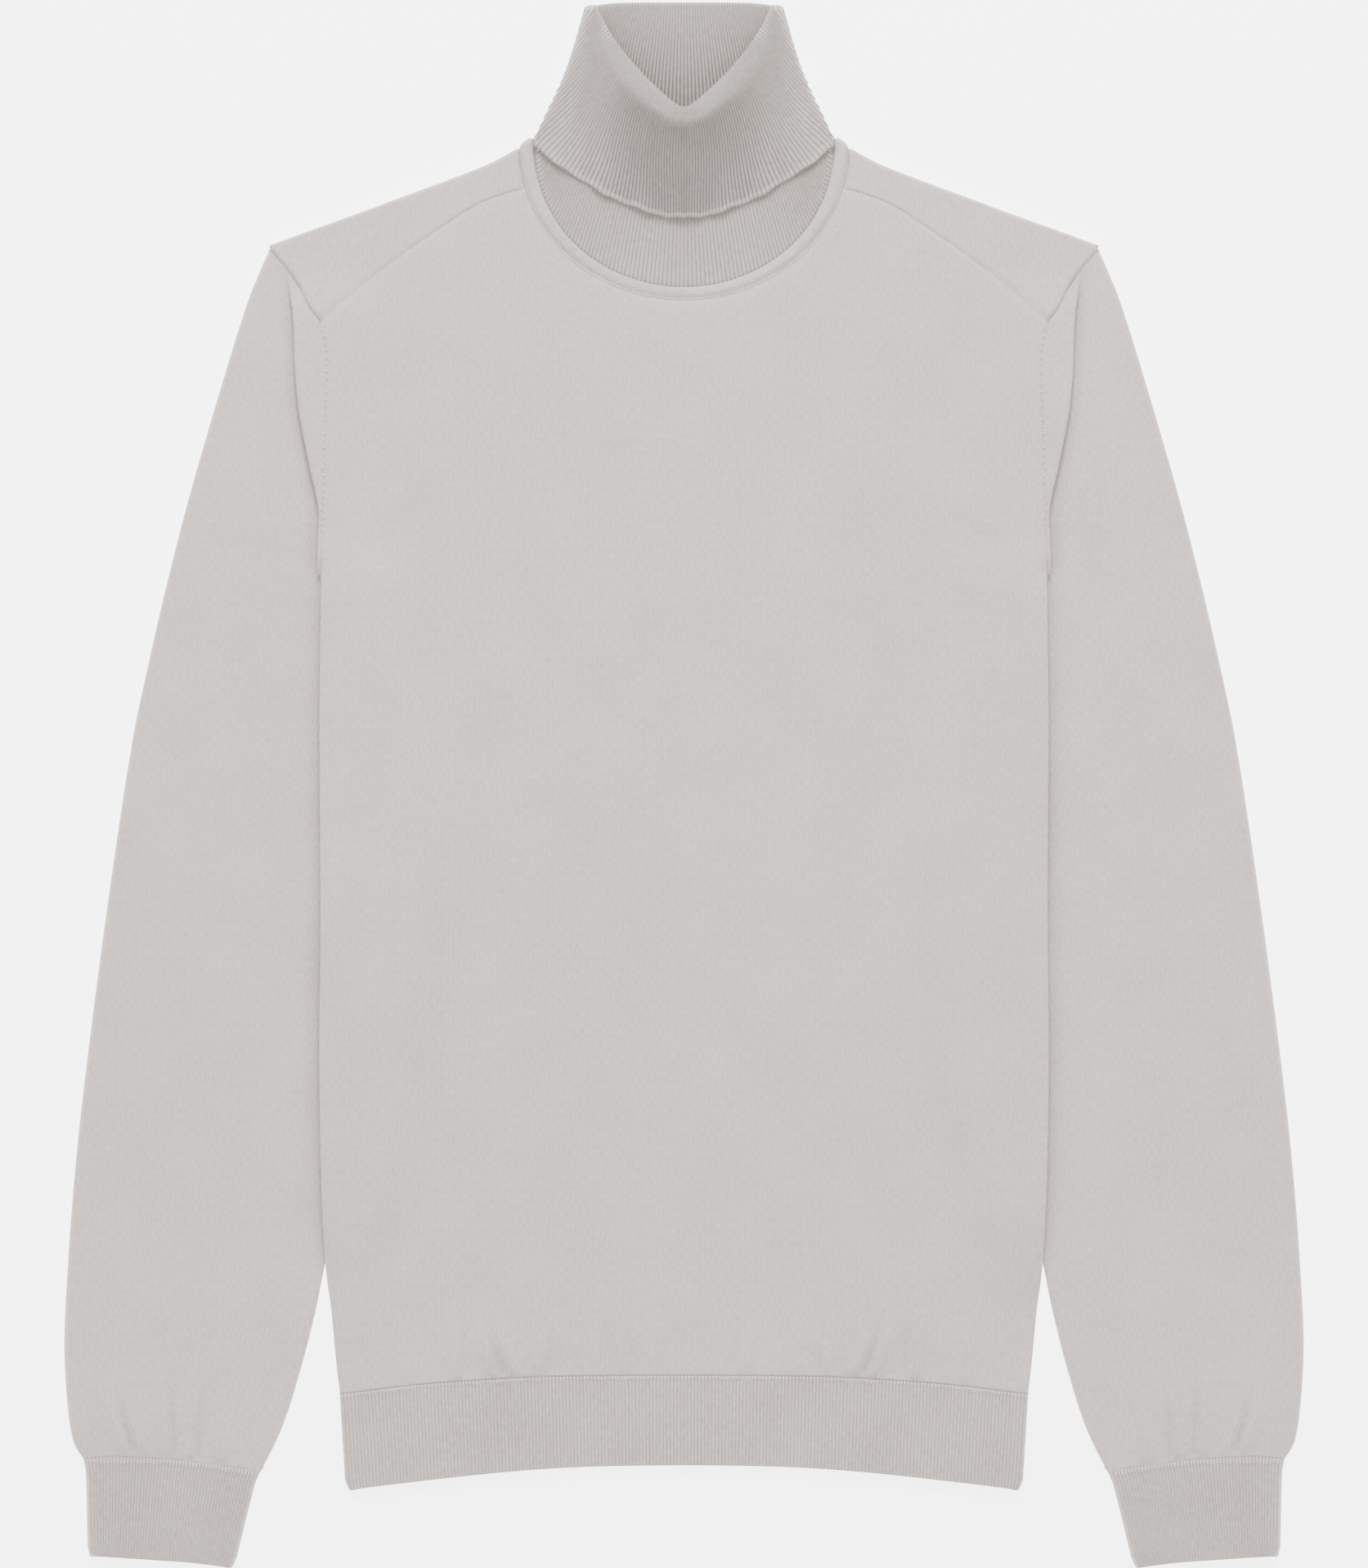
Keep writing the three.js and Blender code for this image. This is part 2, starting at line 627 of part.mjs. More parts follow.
// The neckline's loop, moved inwards from the seam. Its front is half an ellipse, its back a shallow curve.
function necklineLoop(inward, thickness) {
  const [high, low] = [FRONT_LEVEL + (thickness - JERSEY) / 2, thickness / 2];
  const reach = NECK.half - inward - thickness / 2 - (high - low) / 2;
  const rise = (s) => 0.8 * inward * s ** 6;
  const arch = (s, drop, depth) => NECK.y + rise(s) - (drop - inward) * depth;
  return {
    front: (s) =>
      new THREE.Vector2(reach * sin((s * PI) / 2), arch(s, NECK.frontDrop, cos((s * PI) / 2))),
    back: (s) => new THREE.Vector2(reach * s, arch(s, NECK.backDrop, Math.sqrt(1 - s * s))),
    frontZ: () => high,
    backZ: () => low,
    bulge: 0.6,
  };
}

// Linking band between the neckline and the collar
function neckTrim() {
  const shares = evenly(26);
  const backShares = [0, 0.3, 0.6, 0.85, 1];
  const rows = [GAP, GAP + TRIM_WIDTH].map((inward) =>
    neckLoop(necklineLoop(inward, JERSEY), shares, backShares),
  );
  return wall(new Surface().rows(rows, true), JERSEY);
}

// The mouth's edge, and the way that the roll faces along it
function mouthEdge(s) {
  const half = MOUTH.half * mix(sin((s * PI) / 2), s, 0.5);
  const y = MOUTH.y + hypot(MOUTH.point, MOUTH.slope * half) + MOUTH.flare * half ** 3;
  const slope = (MOUTH.slope ** 2 * half) / hypot(MOUTH.point, MOUTH.slope * half) + 3 * MOUTH.flare * half ** 2;
  const facing = new THREE.Vector2(-slope, 1).normalize();
  facing.lerp(new THREE.Vector2(-0.3, 0.95), ramp(0.75, 1, s)).normalize();
  return { at: new THREE.Vector2(half, y), facing };
}

// Collar: a ribbed tube that rises from the neckline as a stand, rolls over and comes down outside as a turnover
function collar() {
  const ribs = 32;
  const shares = evenly(2 * ribs);
  const backShares = [0, 0.25, 0.5, 0.75, 0.9, 1];
  const start = necklineLoop(3.6 * GAP + TRIM_WIDTH, RIB);
  const rollAt = (s) => mix(ROLL.front, ROLL.side, ramp(0, 1, s));
  const rollLine = (s) => {
    const { at, facing } = mouthEdge(s);
    return at.addScaledVector(facing, -(rollAt(s) + RIB / 2));
  };
  const topLine = (s) => new THREE.Vector2(44.5 * s, COLLAR_TOP - ROLL.back - RIB / 2 - 4.4 * s ** 6);
  const sideY = topLine(1).y;
  const standBack = RIB / 2 + 2 * ROLL.back;
  const lerpPlan = (a, b, t) => (s) => a(s).lerp(b(s), t);
  const shift = (line, amount) => (s) => {
    const p = line(s);
    p.x += amount * s ** 4;
    return p;
  };
  const stand = (t) => {
    const pinch = -5.4 * sin(PI * t ** 0.55) - 0.6 * (1 - t);
    return {
      front: shift(lerpPlan(start.front, rollLine, t), pinch),
      back: shift(lerpPlan(start.back, topLine, t), pinch),
      frontZ: (s) => {
        const swell = SIDE_SWELL * s * s;
        const rolled = mix(STAND_LEVEL.middle, STAND_LEVEL.side, s * s);
        return mix(start.frontZ(s) + swell, rolled, t) - swell * (1 - ramp(0, 0.14, t));
      },
      backZ: (s) => mix(RIB / 2, standBack, ramp(0, mix(0.22, 0.13, s * s), t)),
      bulge: mix(start.bulge, 0.1, ramp(0, 0.4, t)),
    };
  };
  const outlineAt = (y) => 51.3 + 0.27 * (sideY - y) + 3.06e-5 * (sideY - y) ** 3;
  const edgeFront = (s) => {
    const half = TURNOVER.half * mix(sin((s * PI) / 2), s, 0.6);
    return new THREE.Vector2(half, TURNOVER.y + TURNOVER.rise * (half / 77.1) ** 1.7);
  };
  const edgeBack = (s) => new THREE.Vector2(64 * s, mix(TURNOVER.backY, 352, s * s));
  const turnover = (t) => {
    const level = (s) =>
      mix(
        mix(STAND_LEVEL.middle, STAND_LEVEL.side, s * s) + 2 * rollAt(s),
        mix(TURNOVER.level, TURNOVER.sideLevel, s * s),
        t ** 0.8,
      );
    const radius = (level(1) - RIB / 2) / 2;
    const sideAtY = (y) => outlineAt(y) - RIB / 2 - radius;
    const front = lerpPlan(rollLine, edgeFront, t);
    const back = lerpPlan(topLine, edgeBack, t);
    const frontEnd = front(1);
    const backEnd = back(1);
    return {
      front: shift(front, mix(sideAtY(frontEnd.y), frontEnd.x, t ** 4) - frontEnd.x),
      back: shift(back, mix(sideAtY(backEnd.y), backEnd.x, t ** 4) - backEnd.x),
      frontZ: level,
      backZ: () => RIB / 2,
    };
  };
  const loop = (level) => neckLoop(level, shares, backShares);
  const standRows = [0, 0.07, 0.15, 0.35, 0.65, 1].map((t) => loop(stand(t)));
  const turnoverRows = [0, 0.3, 0.65, 1].map((t) => loop(turnover(t)));
  const [last, first] = [standRows.at(-1), turnoverRows[0]];
  const foldEnd = shares.length + 4;
  const rollRow = (angle) =>
    last.map((p, i) => {
      const q = first[i];
      const arm = q.clone().sub(p).multiplyScalar(0.5);
      const column = min(i, last.length - i);
      const share = column < shares.length ? shares[column] : 1;
      const towardBack = ramp(shares.length - 1, foldEnd, column);
      const facing = mouthEdge(share).facing.lerp(new THREE.Vector2(0, 1), towardBack).normalize();
      const hand = i > last.length / 2 ? -1 : 1;
      const ahead = new THREE.Vector3(hand * facing.x, facing.y, 0);
      const reach = mix(rollAt(share), ROLL.back, towardBack);
      const middle = p.clone().add(q).multiplyScalar(0.5);
      return middle.addScaledVector(arm, -cos(angle)).addScaledVector(ahead, reach * sin(angle));
    });
  const rollRows = [PI / 4, PI / 2, (3 * PI) / 4].map(rollRow);
  const rows = [...standRows, ...rollRows, ...turnoverRows];
  const count = rows[0].length;
  const columnOf = (i) => min(i, count - i);
  const keep = [...Array(count).keys()].filter((i) => {
    const column = columnOf(i);
    return column > 2 * ribs - 4 || column < 6 || column % 4 === 0;
  });
  const ribHeight = (i) => (columnOf(i) < 2 * ribs ? crest(columnOf(i)) : 0);
  return ribbedWall(rows, keep, ribHeight, true);
}

const garment = new THREE.Group();
const pieces = {
  front_panel: [frontPanel(), CLOTH],
  back_panel: [backPanel(), CLOTH],
  sleeve_left: [sleeve(-1), CLOTH],
  sleeve_right: [sleeve(1), CLOTH],
  cuff_left: [cuff(-1), CLOTH_RIB],
  cuff_right: [cuff(1), CLOTH_RIB],
  hem_front: [frontHem(), CLOTH_RIB],
  hem_back: [backHem(), CLOTH_RIB],
  neck_trim: [neckTrim(), CLOTH_RIB],
  collar: [collar(), CLOTH_RIB],
};
for (const [name, [geometry, finish]] of Object.entries(pieces)) {
  const mesh = new THREE.Mesh(geometry, new THREE.MeshStandardMaterial(finish));
  mesh.name = name;
  garment.add(mesh);
}

export default garment;
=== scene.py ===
import bpy
import numpy as np
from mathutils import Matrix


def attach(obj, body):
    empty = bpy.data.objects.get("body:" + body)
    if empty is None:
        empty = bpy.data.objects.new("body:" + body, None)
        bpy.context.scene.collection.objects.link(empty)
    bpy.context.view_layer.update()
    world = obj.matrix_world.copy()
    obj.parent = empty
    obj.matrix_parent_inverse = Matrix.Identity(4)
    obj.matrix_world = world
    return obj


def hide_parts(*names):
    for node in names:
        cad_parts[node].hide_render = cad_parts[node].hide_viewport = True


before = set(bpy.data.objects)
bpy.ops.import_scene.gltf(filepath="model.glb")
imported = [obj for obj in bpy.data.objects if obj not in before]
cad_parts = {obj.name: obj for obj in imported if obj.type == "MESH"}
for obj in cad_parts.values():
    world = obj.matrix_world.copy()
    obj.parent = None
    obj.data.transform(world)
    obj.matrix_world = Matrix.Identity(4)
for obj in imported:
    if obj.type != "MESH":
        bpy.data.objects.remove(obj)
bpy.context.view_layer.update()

# A turtleneck sweater in fine wool, laid flat on its back. Metres, +Y towards the neck, +X to the right of
# the picture, +Z up. Plans are drawn for x above 0 as rows of half width and y, and mirrored. A pair of
# values is where a ramp starts and ends.

# Front panel
# One piece of plain jersey, knitted to shape, with the front neckline, the lower half of each shoulder and
# both armholes. It is linked to the back at the sides and shoulders, and its sides lie over the sleeves.
JERSEY = 0.0012
SHELL = 0.0010
GAP = 0.0003
HOLLOW = 0.0018
TUCKED_HOLLOW = 0.0018
BACK_LEVEL = JERSEY / 2
FRONT_LEVEL = BACK_LEVEL + JERSEY + HOLLOW
TUCKED_RISE = 2 * (JERSEY + GAP) + TUCKED_HOLLOW
# Where the body's side rises over the tucked sleeve: across, from the sleeve's hidden fold, and along y
RAISED_ACROSS = (-0.040, -0.012)
RAISED_START = (-0.275, -0.215)
RAISED_END = (0.100, 0.128)
# The front layer's side: how far in it starts to close on the back layer, and where along y it opens
SIDE_CLOSE = 0.008
SIDE_OPENS = (0.108, 0.118)
ARMHOLE_RISE = 0.0030
ARMHOLE_ACROSS = (0.145, 0.178)
ARMHOLE_START = (0.100, 0.125)
ARMHOLE_END = (0.238, 0.268)
# The groove along each seam: its depth, and how wide it is
SEAM_DIP = 0.0007
SEAM_SOFT = 0.0018
ARMHOLE_SOFT = 0.0011
ARMHOLE_DIPS = (0.114, 0.126)
NECK_DIP = 0.0011
NECK_SOFT = 0.0032
NECK_SHARE = 0.49
PUCKER_START = 0.0045
PUCKER_FADE = 0.6
NECK_HALF = 0.085
NECK_Y = 0.327
NECK_FRONT_DROP = 0.0767
NECK_SEAM_ANGLE = 1.3
HEM_SEAM = [(0, -0.3032), (0.0657, -0.3037), (0.114, -0.3062), (0.1434, -0.3087), (0.1764, -0.3129)]
SIDE_SEAM = [
    (0.1764, -0.3129), (0.1783, -0.299), (0.1812, -0.2688), (0.184, -0.246), (0.1862, -0.2),
    (0.1871, -0.138), (0.1865, -0.06), (0.187, 0.034), (0.186, 0.113),
]
ARMHOLE = [(0.1849, 0.18), (0.1836, 0.216), (0.187, 0.238)]
FORWARD_SEAM = [(0.0819, 0.3065), (0.1035, 0.2995), (0.1245, 0.2864), (0.1569, 0.2633), (0.187, 0.238)]
INNER_FOLD = [
    (0.1722, 0.113), (0.1712, 0.094), (0.1690, 0.076), (0.1650, 0.057), (0.159, 0.036),
    (0.151, 0.008), (0.1475, -0.025), (0.15, -0.07), (0.1585, -0.13), (0.1700, -0.2),
    (0.1788, -0.231), (0.1843, -0.246), (0.1888, -0.2688), (0.1964, -0.299), (0.206, -0.3293),
    (0.2176, -0.3532),
]
# Small gathers above the hem, as from x, from y, to x, to y, width, height
FRONT_PUCKERS = [
    (0.1434, -0.270, 0.1442, -0.306, 0.0035, 0.0009),
    (0.1205, -0.262, 0.1165, -0.306, 0.0030, 0.0020),
    (0.1165, -0.268, 0.1125, -0.306, 0.0024, -0.0016),
    (0.1080, -0.272, 0.0948, -0.306, 0.0028, 0.0024),
    (0.1038, -0.272, 0.0909, -0.306, 0.0025, -0.0026),
    (0.0985, -0.276, 0.0862, -0.306, 0.0028, 0.0026),
    (0.0735, -0.280, 0.0725, -0.305, 0.0026, 0.0016),
    (0.0700, -0.284, 0.0690, -0.305, 0.0024, -0.0015),
    (0.0380, -0.268, 0.0275, -0.305, 0.0030, 0.0019),
    (0.0343, -0.266, 0.0240, -0.305, 0.0028, -0.0018),
    (-0.1450, -0.274, -0.1430, -0.306, 0.0035, 0.0008),
    (-0.1198, -0.264, -0.1160, -0.306, 0.0030, 0.0021),
    (-0.1160, -0.270, -0.1120, -0.306, 0.0024, -0.0016),
    (-0.1086, -0.273, -0.0952, -0.306, 0.0028, 0.0023),
    (-0.1044, -0.273, -0.0912, -0.306, 0.0025, -0.0025),
    (-0.0990, -0.277, -0.0865, -0.306, 0.0028, 0.0025),
    (-0.0730, -0.279, -0.0732, -0.305, 0.0026, 0.0017),
    (-0.0695, -0.285, -0.0698, -0.305, 0.0024, -0.0015),
    (-0.0373, -0.266, -0.0278, -0.305, 0.0030, 0.0017),
    (-0.0336, -0.266, -0.0243, -0.305, 0.0028, -0.0017),
    (0.0010, -0.200, -0.0004, -0.290, 0.0050, -0.0006),
]
# Long soft waves where the cloth settled over the layers below it
FRONT_WAVES = [
    (0.150, 0.080, 0.138, -0.240, 0.018, 0.0009),
    (-0.151, 0.060, -0.139, -0.250, 0.018, 0.0009),
    (0.060, 0.150, 0.072, -0.180, 0.030, 0.0008),
    (-0.052, 0.120, -0.078, -0.210, 0.030, 0.0007),
    (0.176, 0.118, 0.128, 0.156, 0.009, 0.0009),
    (-0.177, 0.120, -0.130, 0.162, 0.009, 0.0008),
]


def mix(a, b, t):
    """The value a share t of the way from a to b."""
    return a + (b - a) * t


def ramp(low, high, x):
    """A smooth step of 3 t squared less 2 t cubed, from 0 at low to 1 at high."""
    t = np.clip((x - low) / (high - low), 0, 1)
    return t * t * (3 - 2 * t)


def route(rows):
    """A smooth plan curve through the rows, read by the share of its length. Between two rows it is the cubic
    whose slope at each row is half the step between that row's neighbours."""
    p = np.array([rows[0], *rows, rows[-1]], float)
    before, here, ahead, beyond = (p[i : len(p) - 3 + i, None] for i in range(4))
    t = np.linspace(0, 1, 40)[None, :, None]
    slope, end_slope = (ahead - before) / 2, (beyond - here) / 2
    bend = 2 * here - 2 * ahead + slope + end_slope
    curve = ((bend * t + 3 * ahead - 3 * here - 2 * slope - end_slope) * t + slope) * t + here
    curve = curve.reshape(-1, 2)
    length = np.append(0, np.cumsum(np.hypot(*np.diff(curve, axis=0).T)))
    length /= length[-1]
    return lambda s: np.stack([np.interp(s, length, curve[:, k]) for k in (0, 1)], -1)


def width_at(rows):
    """The half width of the smooth curve through the rows at a height."""
    curve = route(rows)(np.linspace(0, 1, 400))
    curve = curve[np.argsort(curve[:, 1])]
    return lambda y: np.interp(y, curve[:, 1], curve[:, 0])


def patch(bottom, top, start, end, u, v):
    """A plan grid between four curves: the way from bottom to top by v, plus that from start to end by u,
    less the flat patch of the four corners. A u below 0 is mirrored."""
    share, v = np.abs(u), v[:, None, None]
    b, t = bottom(share)[None], top(share)[None]
    s, e = start(v[:, 0, 0])[:, None], end(v[:, 0, 0])[:, None]
    across = share[None, :, None]
    corners = mix(mix(b[:, :1] * 0 + bottom(0.0), end(0.0), across), mix(start(1.0), end(1.0), across), v)
    plan = mix(b, t, v) + mix(s, e, across) - corners
    plan[..., 0] *= np.where(u < 0, -1, 1)
    return plan


def stations(count, edge=0.004, steps=3):
    """Even shares from 0 to 1, with closer ones in the last share, edge, at each end."""
    near = edge * np.arange(steps) / steps
    return np.concatenate([near, np.linspace(edge, 1 - edge, count), 1 - near[::-1]])


def folds(rows, x, y):
    """The height of soft folds over a plan point: across each line the bell of e to minus the square of the
    distance over the width, which fades in from the upper end."""
    height = np.zeros(np.broadcast(x, y).shape)
    for from_x, from_y, to_x, to_y, width, rise in rows:
        dx, dy = to_x - from_x, to_y - from_y
        t = np.clip(((x - from_x) * dx + (y - from_y) * dy) / (dx * dx + dy * dy), 0, 1)
        away = np.hypot(x - from_x - dx * t, y - from_y - dy * t)
        height += rise * ramp(0, PUCKER_FADE, t) * np.exp(-((away / width) ** 2))
    return height


side_at = width_at(SIDE_SEAM)
hidden_fold_at = width_at(INNER_FOLD)


def back_level(half, y):
    """The back layer's height: its own level, raised where the body's side lies on the tucked sleeve."""
    fold = hidden_fold_at(y)
    along = ramp(*RAISED_START, y) * (1 - ramp(*RAISED_END, y))
    return BACK_LEVEL + TUCKED_RISE * ramp(fold + RAISED_ACROSS[0], fold + RAISED_ACROSS[1], half) * along


def front_level(half, y):
    """The front layer's height: a hollow above the back layer, higher at the armhole, that closes by a
    squared ramp at the side seam."""
    at_armhole = ARMHOLE_RISE * ramp(*ARMHOLE_ACROSS, half) * ramp(*ARMHOLE_START, y)
    spread = back_level(half, y) + JERSEY + HOLLOW + at_armhole * (1 - ramp(*ARMHOLE_END, y))
    to_side = ramp(side_at(y) - SIDE_CLOSE, side_at(y), half) ** 2 * (1 - ramp(*SIDE_OPENS, y))
    return mix(spread, back_level(half, y) + JERSEY + 2 * GAP, to_side)


def grid(plan, z):
    """Points from a plan grid and its heights."""
    return np.concatenate([plan, z[..., None]], -1)


def placed(name, data):
    """A new object with the data, linked into the scene."""
    made = bpy.data.objects.new(name, data)
    bpy.context.scene.collection.objects.link(made)
    return made


def cloth(name, grids, thickness, material, closed=None):
    """A closed shell of cloth over grids of points with their place on the flat cloth in metres as UV. Points
    of two grids that coincide become one, so that the grids are joined. closed becomes an attribute."""
    points, uvs, quads, count = [], [], [], 0
    for place, flat in grids:
        rows, columns = place.shape[:2]
        ids = count + np.arange(rows * columns).reshape(rows, columns)
        corners = [ids[:-1, :-1], ids[:-1, 1:], ids[1:, 1:], ids[1:, :-1]]
        quads.append(np.stack(corners, -1).reshape(-1, 4))
        points.append(place.reshape(-1, 3))
        uvs.append(flat.reshape(-1, 2))
        count += rows * columns
    points, uvs, quads = map(np.concatenate, (points, uvs, quads))
    _, first, merged = np.unique(np.round(points, 6), axis=0, return_index=True, return_inverse=True)
    mesh = bpy.data.meshes.new(name)
    mesh.from_pydata(points[first].tolist(), [], merged.reshape(-1)[quads].tolist())
    mesh.uv_layers.new(name="cloth").data.foreach_set("uv", uvs[quads.reshape(-1)].reshape(-1))
    if closed is not None:
        mesh.attributes.new("closed", "FLOAT", "POINT").data.foreach_set("value", closed.reshape(-1)[first])
    mesh.polygons.foreach_set("use_smooth", np.ones(len(quads), bool))
    mesh.materials.append(material)
    piece = placed(name, mesh)
    shell = piece.modifiers.new("wall", "SOLIDIFY")
    shell.thickness = thickness
    shell.offset = 0
    return piece


def linear(hex_colour):
    """An sRGB hex value as a linear colour: c / 12.92 up to 0.04045, else ((c + 0.055) / 1.055) to the
    2.4."""
    c = np.array([int(hex_colour[i : i + 2], 16) / 255 for i in (0, 2, 4)])
    return (*np.where(c <= 0.04045, c / 12.92, ((c + 0.055) / 1.055) ** 2.4), 1)


def add(tree, kind, inputs, **settings):
    """Adds a node, sets its properties, and sets its sockets or links them to other nodes' outputs."""
    made = tree.nodes.new(kind)
    for name, value in settings.items():
        setattr(made, name, value)
    for name, value in inputs.items():
        if isinstance(value, bpy.types.NodeSocket):
            tree.links.new(value, made.inputs[name])
        else:
            made.inputs[name].default_value = value
    return made


# The knit's look: how far its columns lean, how high a loop stands next to a column, how many streaks and
# clouds of tone lie in a metre, and how much darker the cloth is where the attribute "closed" is 1: partly a
# relaxed rib's grooves, partly painted shade
COLUMN_LEAN = 1.4
LOOP_HEIGHT = 0.12
STREAKS = (900, 320, 1)
CLOUDS = 26
CLOUD_SHARE = 0.3
SHADE_RANGE = (0.35, 0.95)
# Painted shade between the columns: how wide it is, and the dark colour that it and the attribute "closed"
# mix in
GROOVE_WIDTH = 0.22
PAINTED_SHADE_COLOUR = (0.02, 0.018, 0.018, 1)
FIBRE_HEIGHT = 0.5
CLOSED_AND_PAINTED_SHADE = 0.27


def emptied(name):
    """A new material with an empty node tree, and the tree."""
    material = bpy.data.materials.new(name)
    material.use_nodes = True
    material.node_tree.nodes.clear()
    return material, material.node_tree


def knit(name, light, dark, wale, course, depth, groove):
    """Knitted wool: columns of V-shaped loops on the cloth's own UV, two shades of yarn mixed in short
    streaks, and a nap. wale and course are the spacings of the loops across and along the cloth in metres,
    and groove is how much painted shade darkens the cloth between two columns. The attribute "closed" darkens
    the cloth further: partly a relaxed rib whose columns touch, partly painted shade where shade falls."""
    material, tree = emptied(name)
    flat = add(tree, "ShaderNodeUVMap", {}, uv_map="cloth").outputs[0]
    split = add(tree, "ShaderNodeSeparateXYZ", {0: flat})
    across = add(tree, "ShaderNodeMath", {0: split.outputs[0], 1: wale}, operation="DIVIDE").outputs[0]
    along = add(tree, "ShaderNodeMath", {0: split.outputs[1], 1: course}, operation="DIVIDE").outputs[0]
    column = add(tree, "ShaderNodeMath", {0: across, 1: 0.5}, operation="PINGPONG").outputs[0]
    lean = {0: column, 1: COLUMN_LEAN, 2: along}
    lean = add(tree, "ShaderNodeMath", lean, operation="MULTIPLY_ADD").outputs[0]
    turn = add(tree, "ShaderNodeMath", {0: lean, 1: 2 * np.pi}, operation="MULTIPLY").outputs[0]
    loop = add(tree, "ShaderNodeMath", {0: turn}, operation="SINE").outputs[0]
    loops = {0: loop, 1: LOOP_HEIGHT, 2: column}
    loops = add(tree, "ShaderNodeMath", loops, operation="MULTIPLY_ADD").outputs[0]
    stretched = add(tree, "ShaderNodeMapping", {"Vector": flat, "Scale": STREAKS}).outputs[0]
    streak = add(tree, "ShaderNodeTexNoise", {"Vector": stretched, "Scale": 1, "Detail": 3}).outputs[0]
    place = add(tree, "ShaderNodeTexCoord", {}).outputs["Object"]
    cloud = add(tree, "ShaderNodeTexNoise", {"Vector": place, "Scale": CLOUDS, "Detail": 2}).outputs[0]
    shade = {0: cloud, 1: CLOUD_SHARE, 2: streak}
    shade = add(tree, "ShaderNodeMath", shade, operation="MULTIPLY_ADD").outputs[0]
    span = {"Value": shade, "From Min": SHADE_RANGE[0], "From Max": SHADE_RANGE[1]}
    share = add(tree, "ShaderNodeMapRange", span).outputs[0]
    shades = {0: share, 6: linear(dark), 7: linear(light)}
    yarn = add(tree, "ShaderNodeMix", shades, data_type="RGBA").outputs[2]
    # Painted shade: the colour is mixed towards a dark one between two columns, and further where the
    # attribute "closed" is high
    between = {"Value": column, "From Min": GROOVE_WIDTH, "From Max": 0.0, "To Max": groove}
    between = add(tree, "ShaderNodeMapRange", between).outputs[0]
    closed = add(tree, "ShaderNodeAttribute", {}, attribute_name="closed").outputs["Fac"]
    shaded = {0: closed, 1: CLOSED_AND_PAINTED_SHADE, 2: between}
    shaded = add(tree, "ShaderNodeMath", shaded, operation="MULTIPLY_ADD").outputs[0]
    shadow = {0: shaded, 6: yarn, 7: PAINTED_SHADE_COLOUR}
    colour = add(tree, "ShaderNodeMix", shadow, data_type="RGBA").outputs[2]
    fibre = {0: streak, 1: FIBRE_HEIGHT, 2: loops}
    fibre = add(tree, "ShaderNodeMath", fibre, operation="MULTIPLY_ADD").outputs[0]
    relief = {"Height": fibre, "Distance": depth, "Strength": 0.8}
    normal = add(tree, "ShaderNodeBump", relief).outputs[0]
    wool = {
        "Base Color": colour,
        "Roughness": 0.92,
        "IOR": 1.45,
        "Specular IOR Level": 0.25,
        "Sheen Weight": 0.08,
        "Sheen Roughness": 0.5,
        "Normal": normal,
    }
    shader = add(tree, "ShaderNodeBsdfPrincipled", wool).outputs[0]
    add(tree, "ShaderNodeOutputMaterial", {"Surface": shader})
    return material


# Fine wool jersey, knitted on a fine gauge and lightly milled: matt, pale, with a soft fleck along the wales.
# Its wales are about 1.0 mm apart, drawn at 1.3 mm so that they show.
# Its colour carries a little painted shade between its wales.
jersey = knit("wool jersey", "DAD1CB", "BCB2AC", 0.0013, 0.0010, 0.00035, 0.12)


# The same wool as one twisted end, rounder than the cloth, with a fleck of the twist, and a painted
# highlight:
# its colours are paler than the cloth's, as where it stands up in the light.
TWIST_SCALE = 1500
yarn, tree = emptied("twisted wool yarn with painted highlight")
place = add(tree, "ShaderNodeTexCoord", {}).outputs["Object"]
fleck = add(tree, "ShaderNodeTexNoise", {"Vector": place, "Scale": TWIST_SCALE, "Detail": 1}).outputs[0]
# Painted highlight: both tones are paler than the jersey's
shades = {0: fleck, 6: linear("D8D0CA"), 7: linear("F6F1EC")}
tones = add(tree, "ShaderNodeMix", shades, data_type="RGBA").outputs[2]
twist = add(tree, "ShaderNodeBump", {"Height": fleck, "Distance": 0.0001, "Strength": 0.6}).outputs[0]
wool = {"Base Color": tones, "Roughness": 0.9, "Specular IOR Level": 0.25, "Normal": twist}
wool = add(tree, "ShaderNodeBsdfPrincipled", wool).outputs[0]
add(tree, "ShaderNodeOutputMaterial", {"Surface": wool})


def stitches(name, start, end, radius):
    """One mesh of short stitches, each a spindle from its start to its end: five rings of five points, whose
    radius is the root of a sine of the share along it, closed by a point at both ends."""
    share = np.linspace(0.1, 0.9, 5)
    way = (end - start) / np.linalg.norm(end - start, axis=1, keepdims=True)
    side = np.cross(way, (0, 0, 1))
    side /= np.linalg.norm(side, axis=1, keepdims=True)
    turn = np.linspace(0, 2 * np.pi, 6)[:5, None, None]
    around = np.cos(turn) * side + np.sin(turn) * np.cross(side, way)
    centre = start + (end - start) * share[:, None, None]
    rings = centre[:, None] + radius * np.sqrt(np.sin(np.pi * share))[:, None, None, None] * around
    points = np.concatenate([start[None], rings.reshape(25, -1, 3), end[None]]).transpose(1, 0, 2)
    low = np.arange(1, 21)
    ahead = low + 1 - 5 * (low % 5 == 0)
    walls = np.stack([low, low + 5, ahead + 5, ahead], 1)
    ring = np.arange(5)
    caps = [np.stack([0 * ring, 1 + ring, 1 + (ring + 1) % 5], 1)]
    caps.append(np.stack([0 * ring + 26, 21 + (ring + 1) % 5, 21 + ring], 1))
    shift = 27 * np.arange(len(start))[:, None, None]
    faces = (walls + shift).reshape(-1, 4).tolist() + (np.concatenate(caps) + shift).reshape(-1, 3).tolist()
    mesh = bpy.data.meshes.new(name)
    mesh.from_pydata(points.reshape(-1, 3).tolist(), [], faces)
    mesh.polygons.foreach_set("use_smooth", np.ones(len(faces), bool))
    mesh.materials.append(yarn)
    return placed(name, mesh)


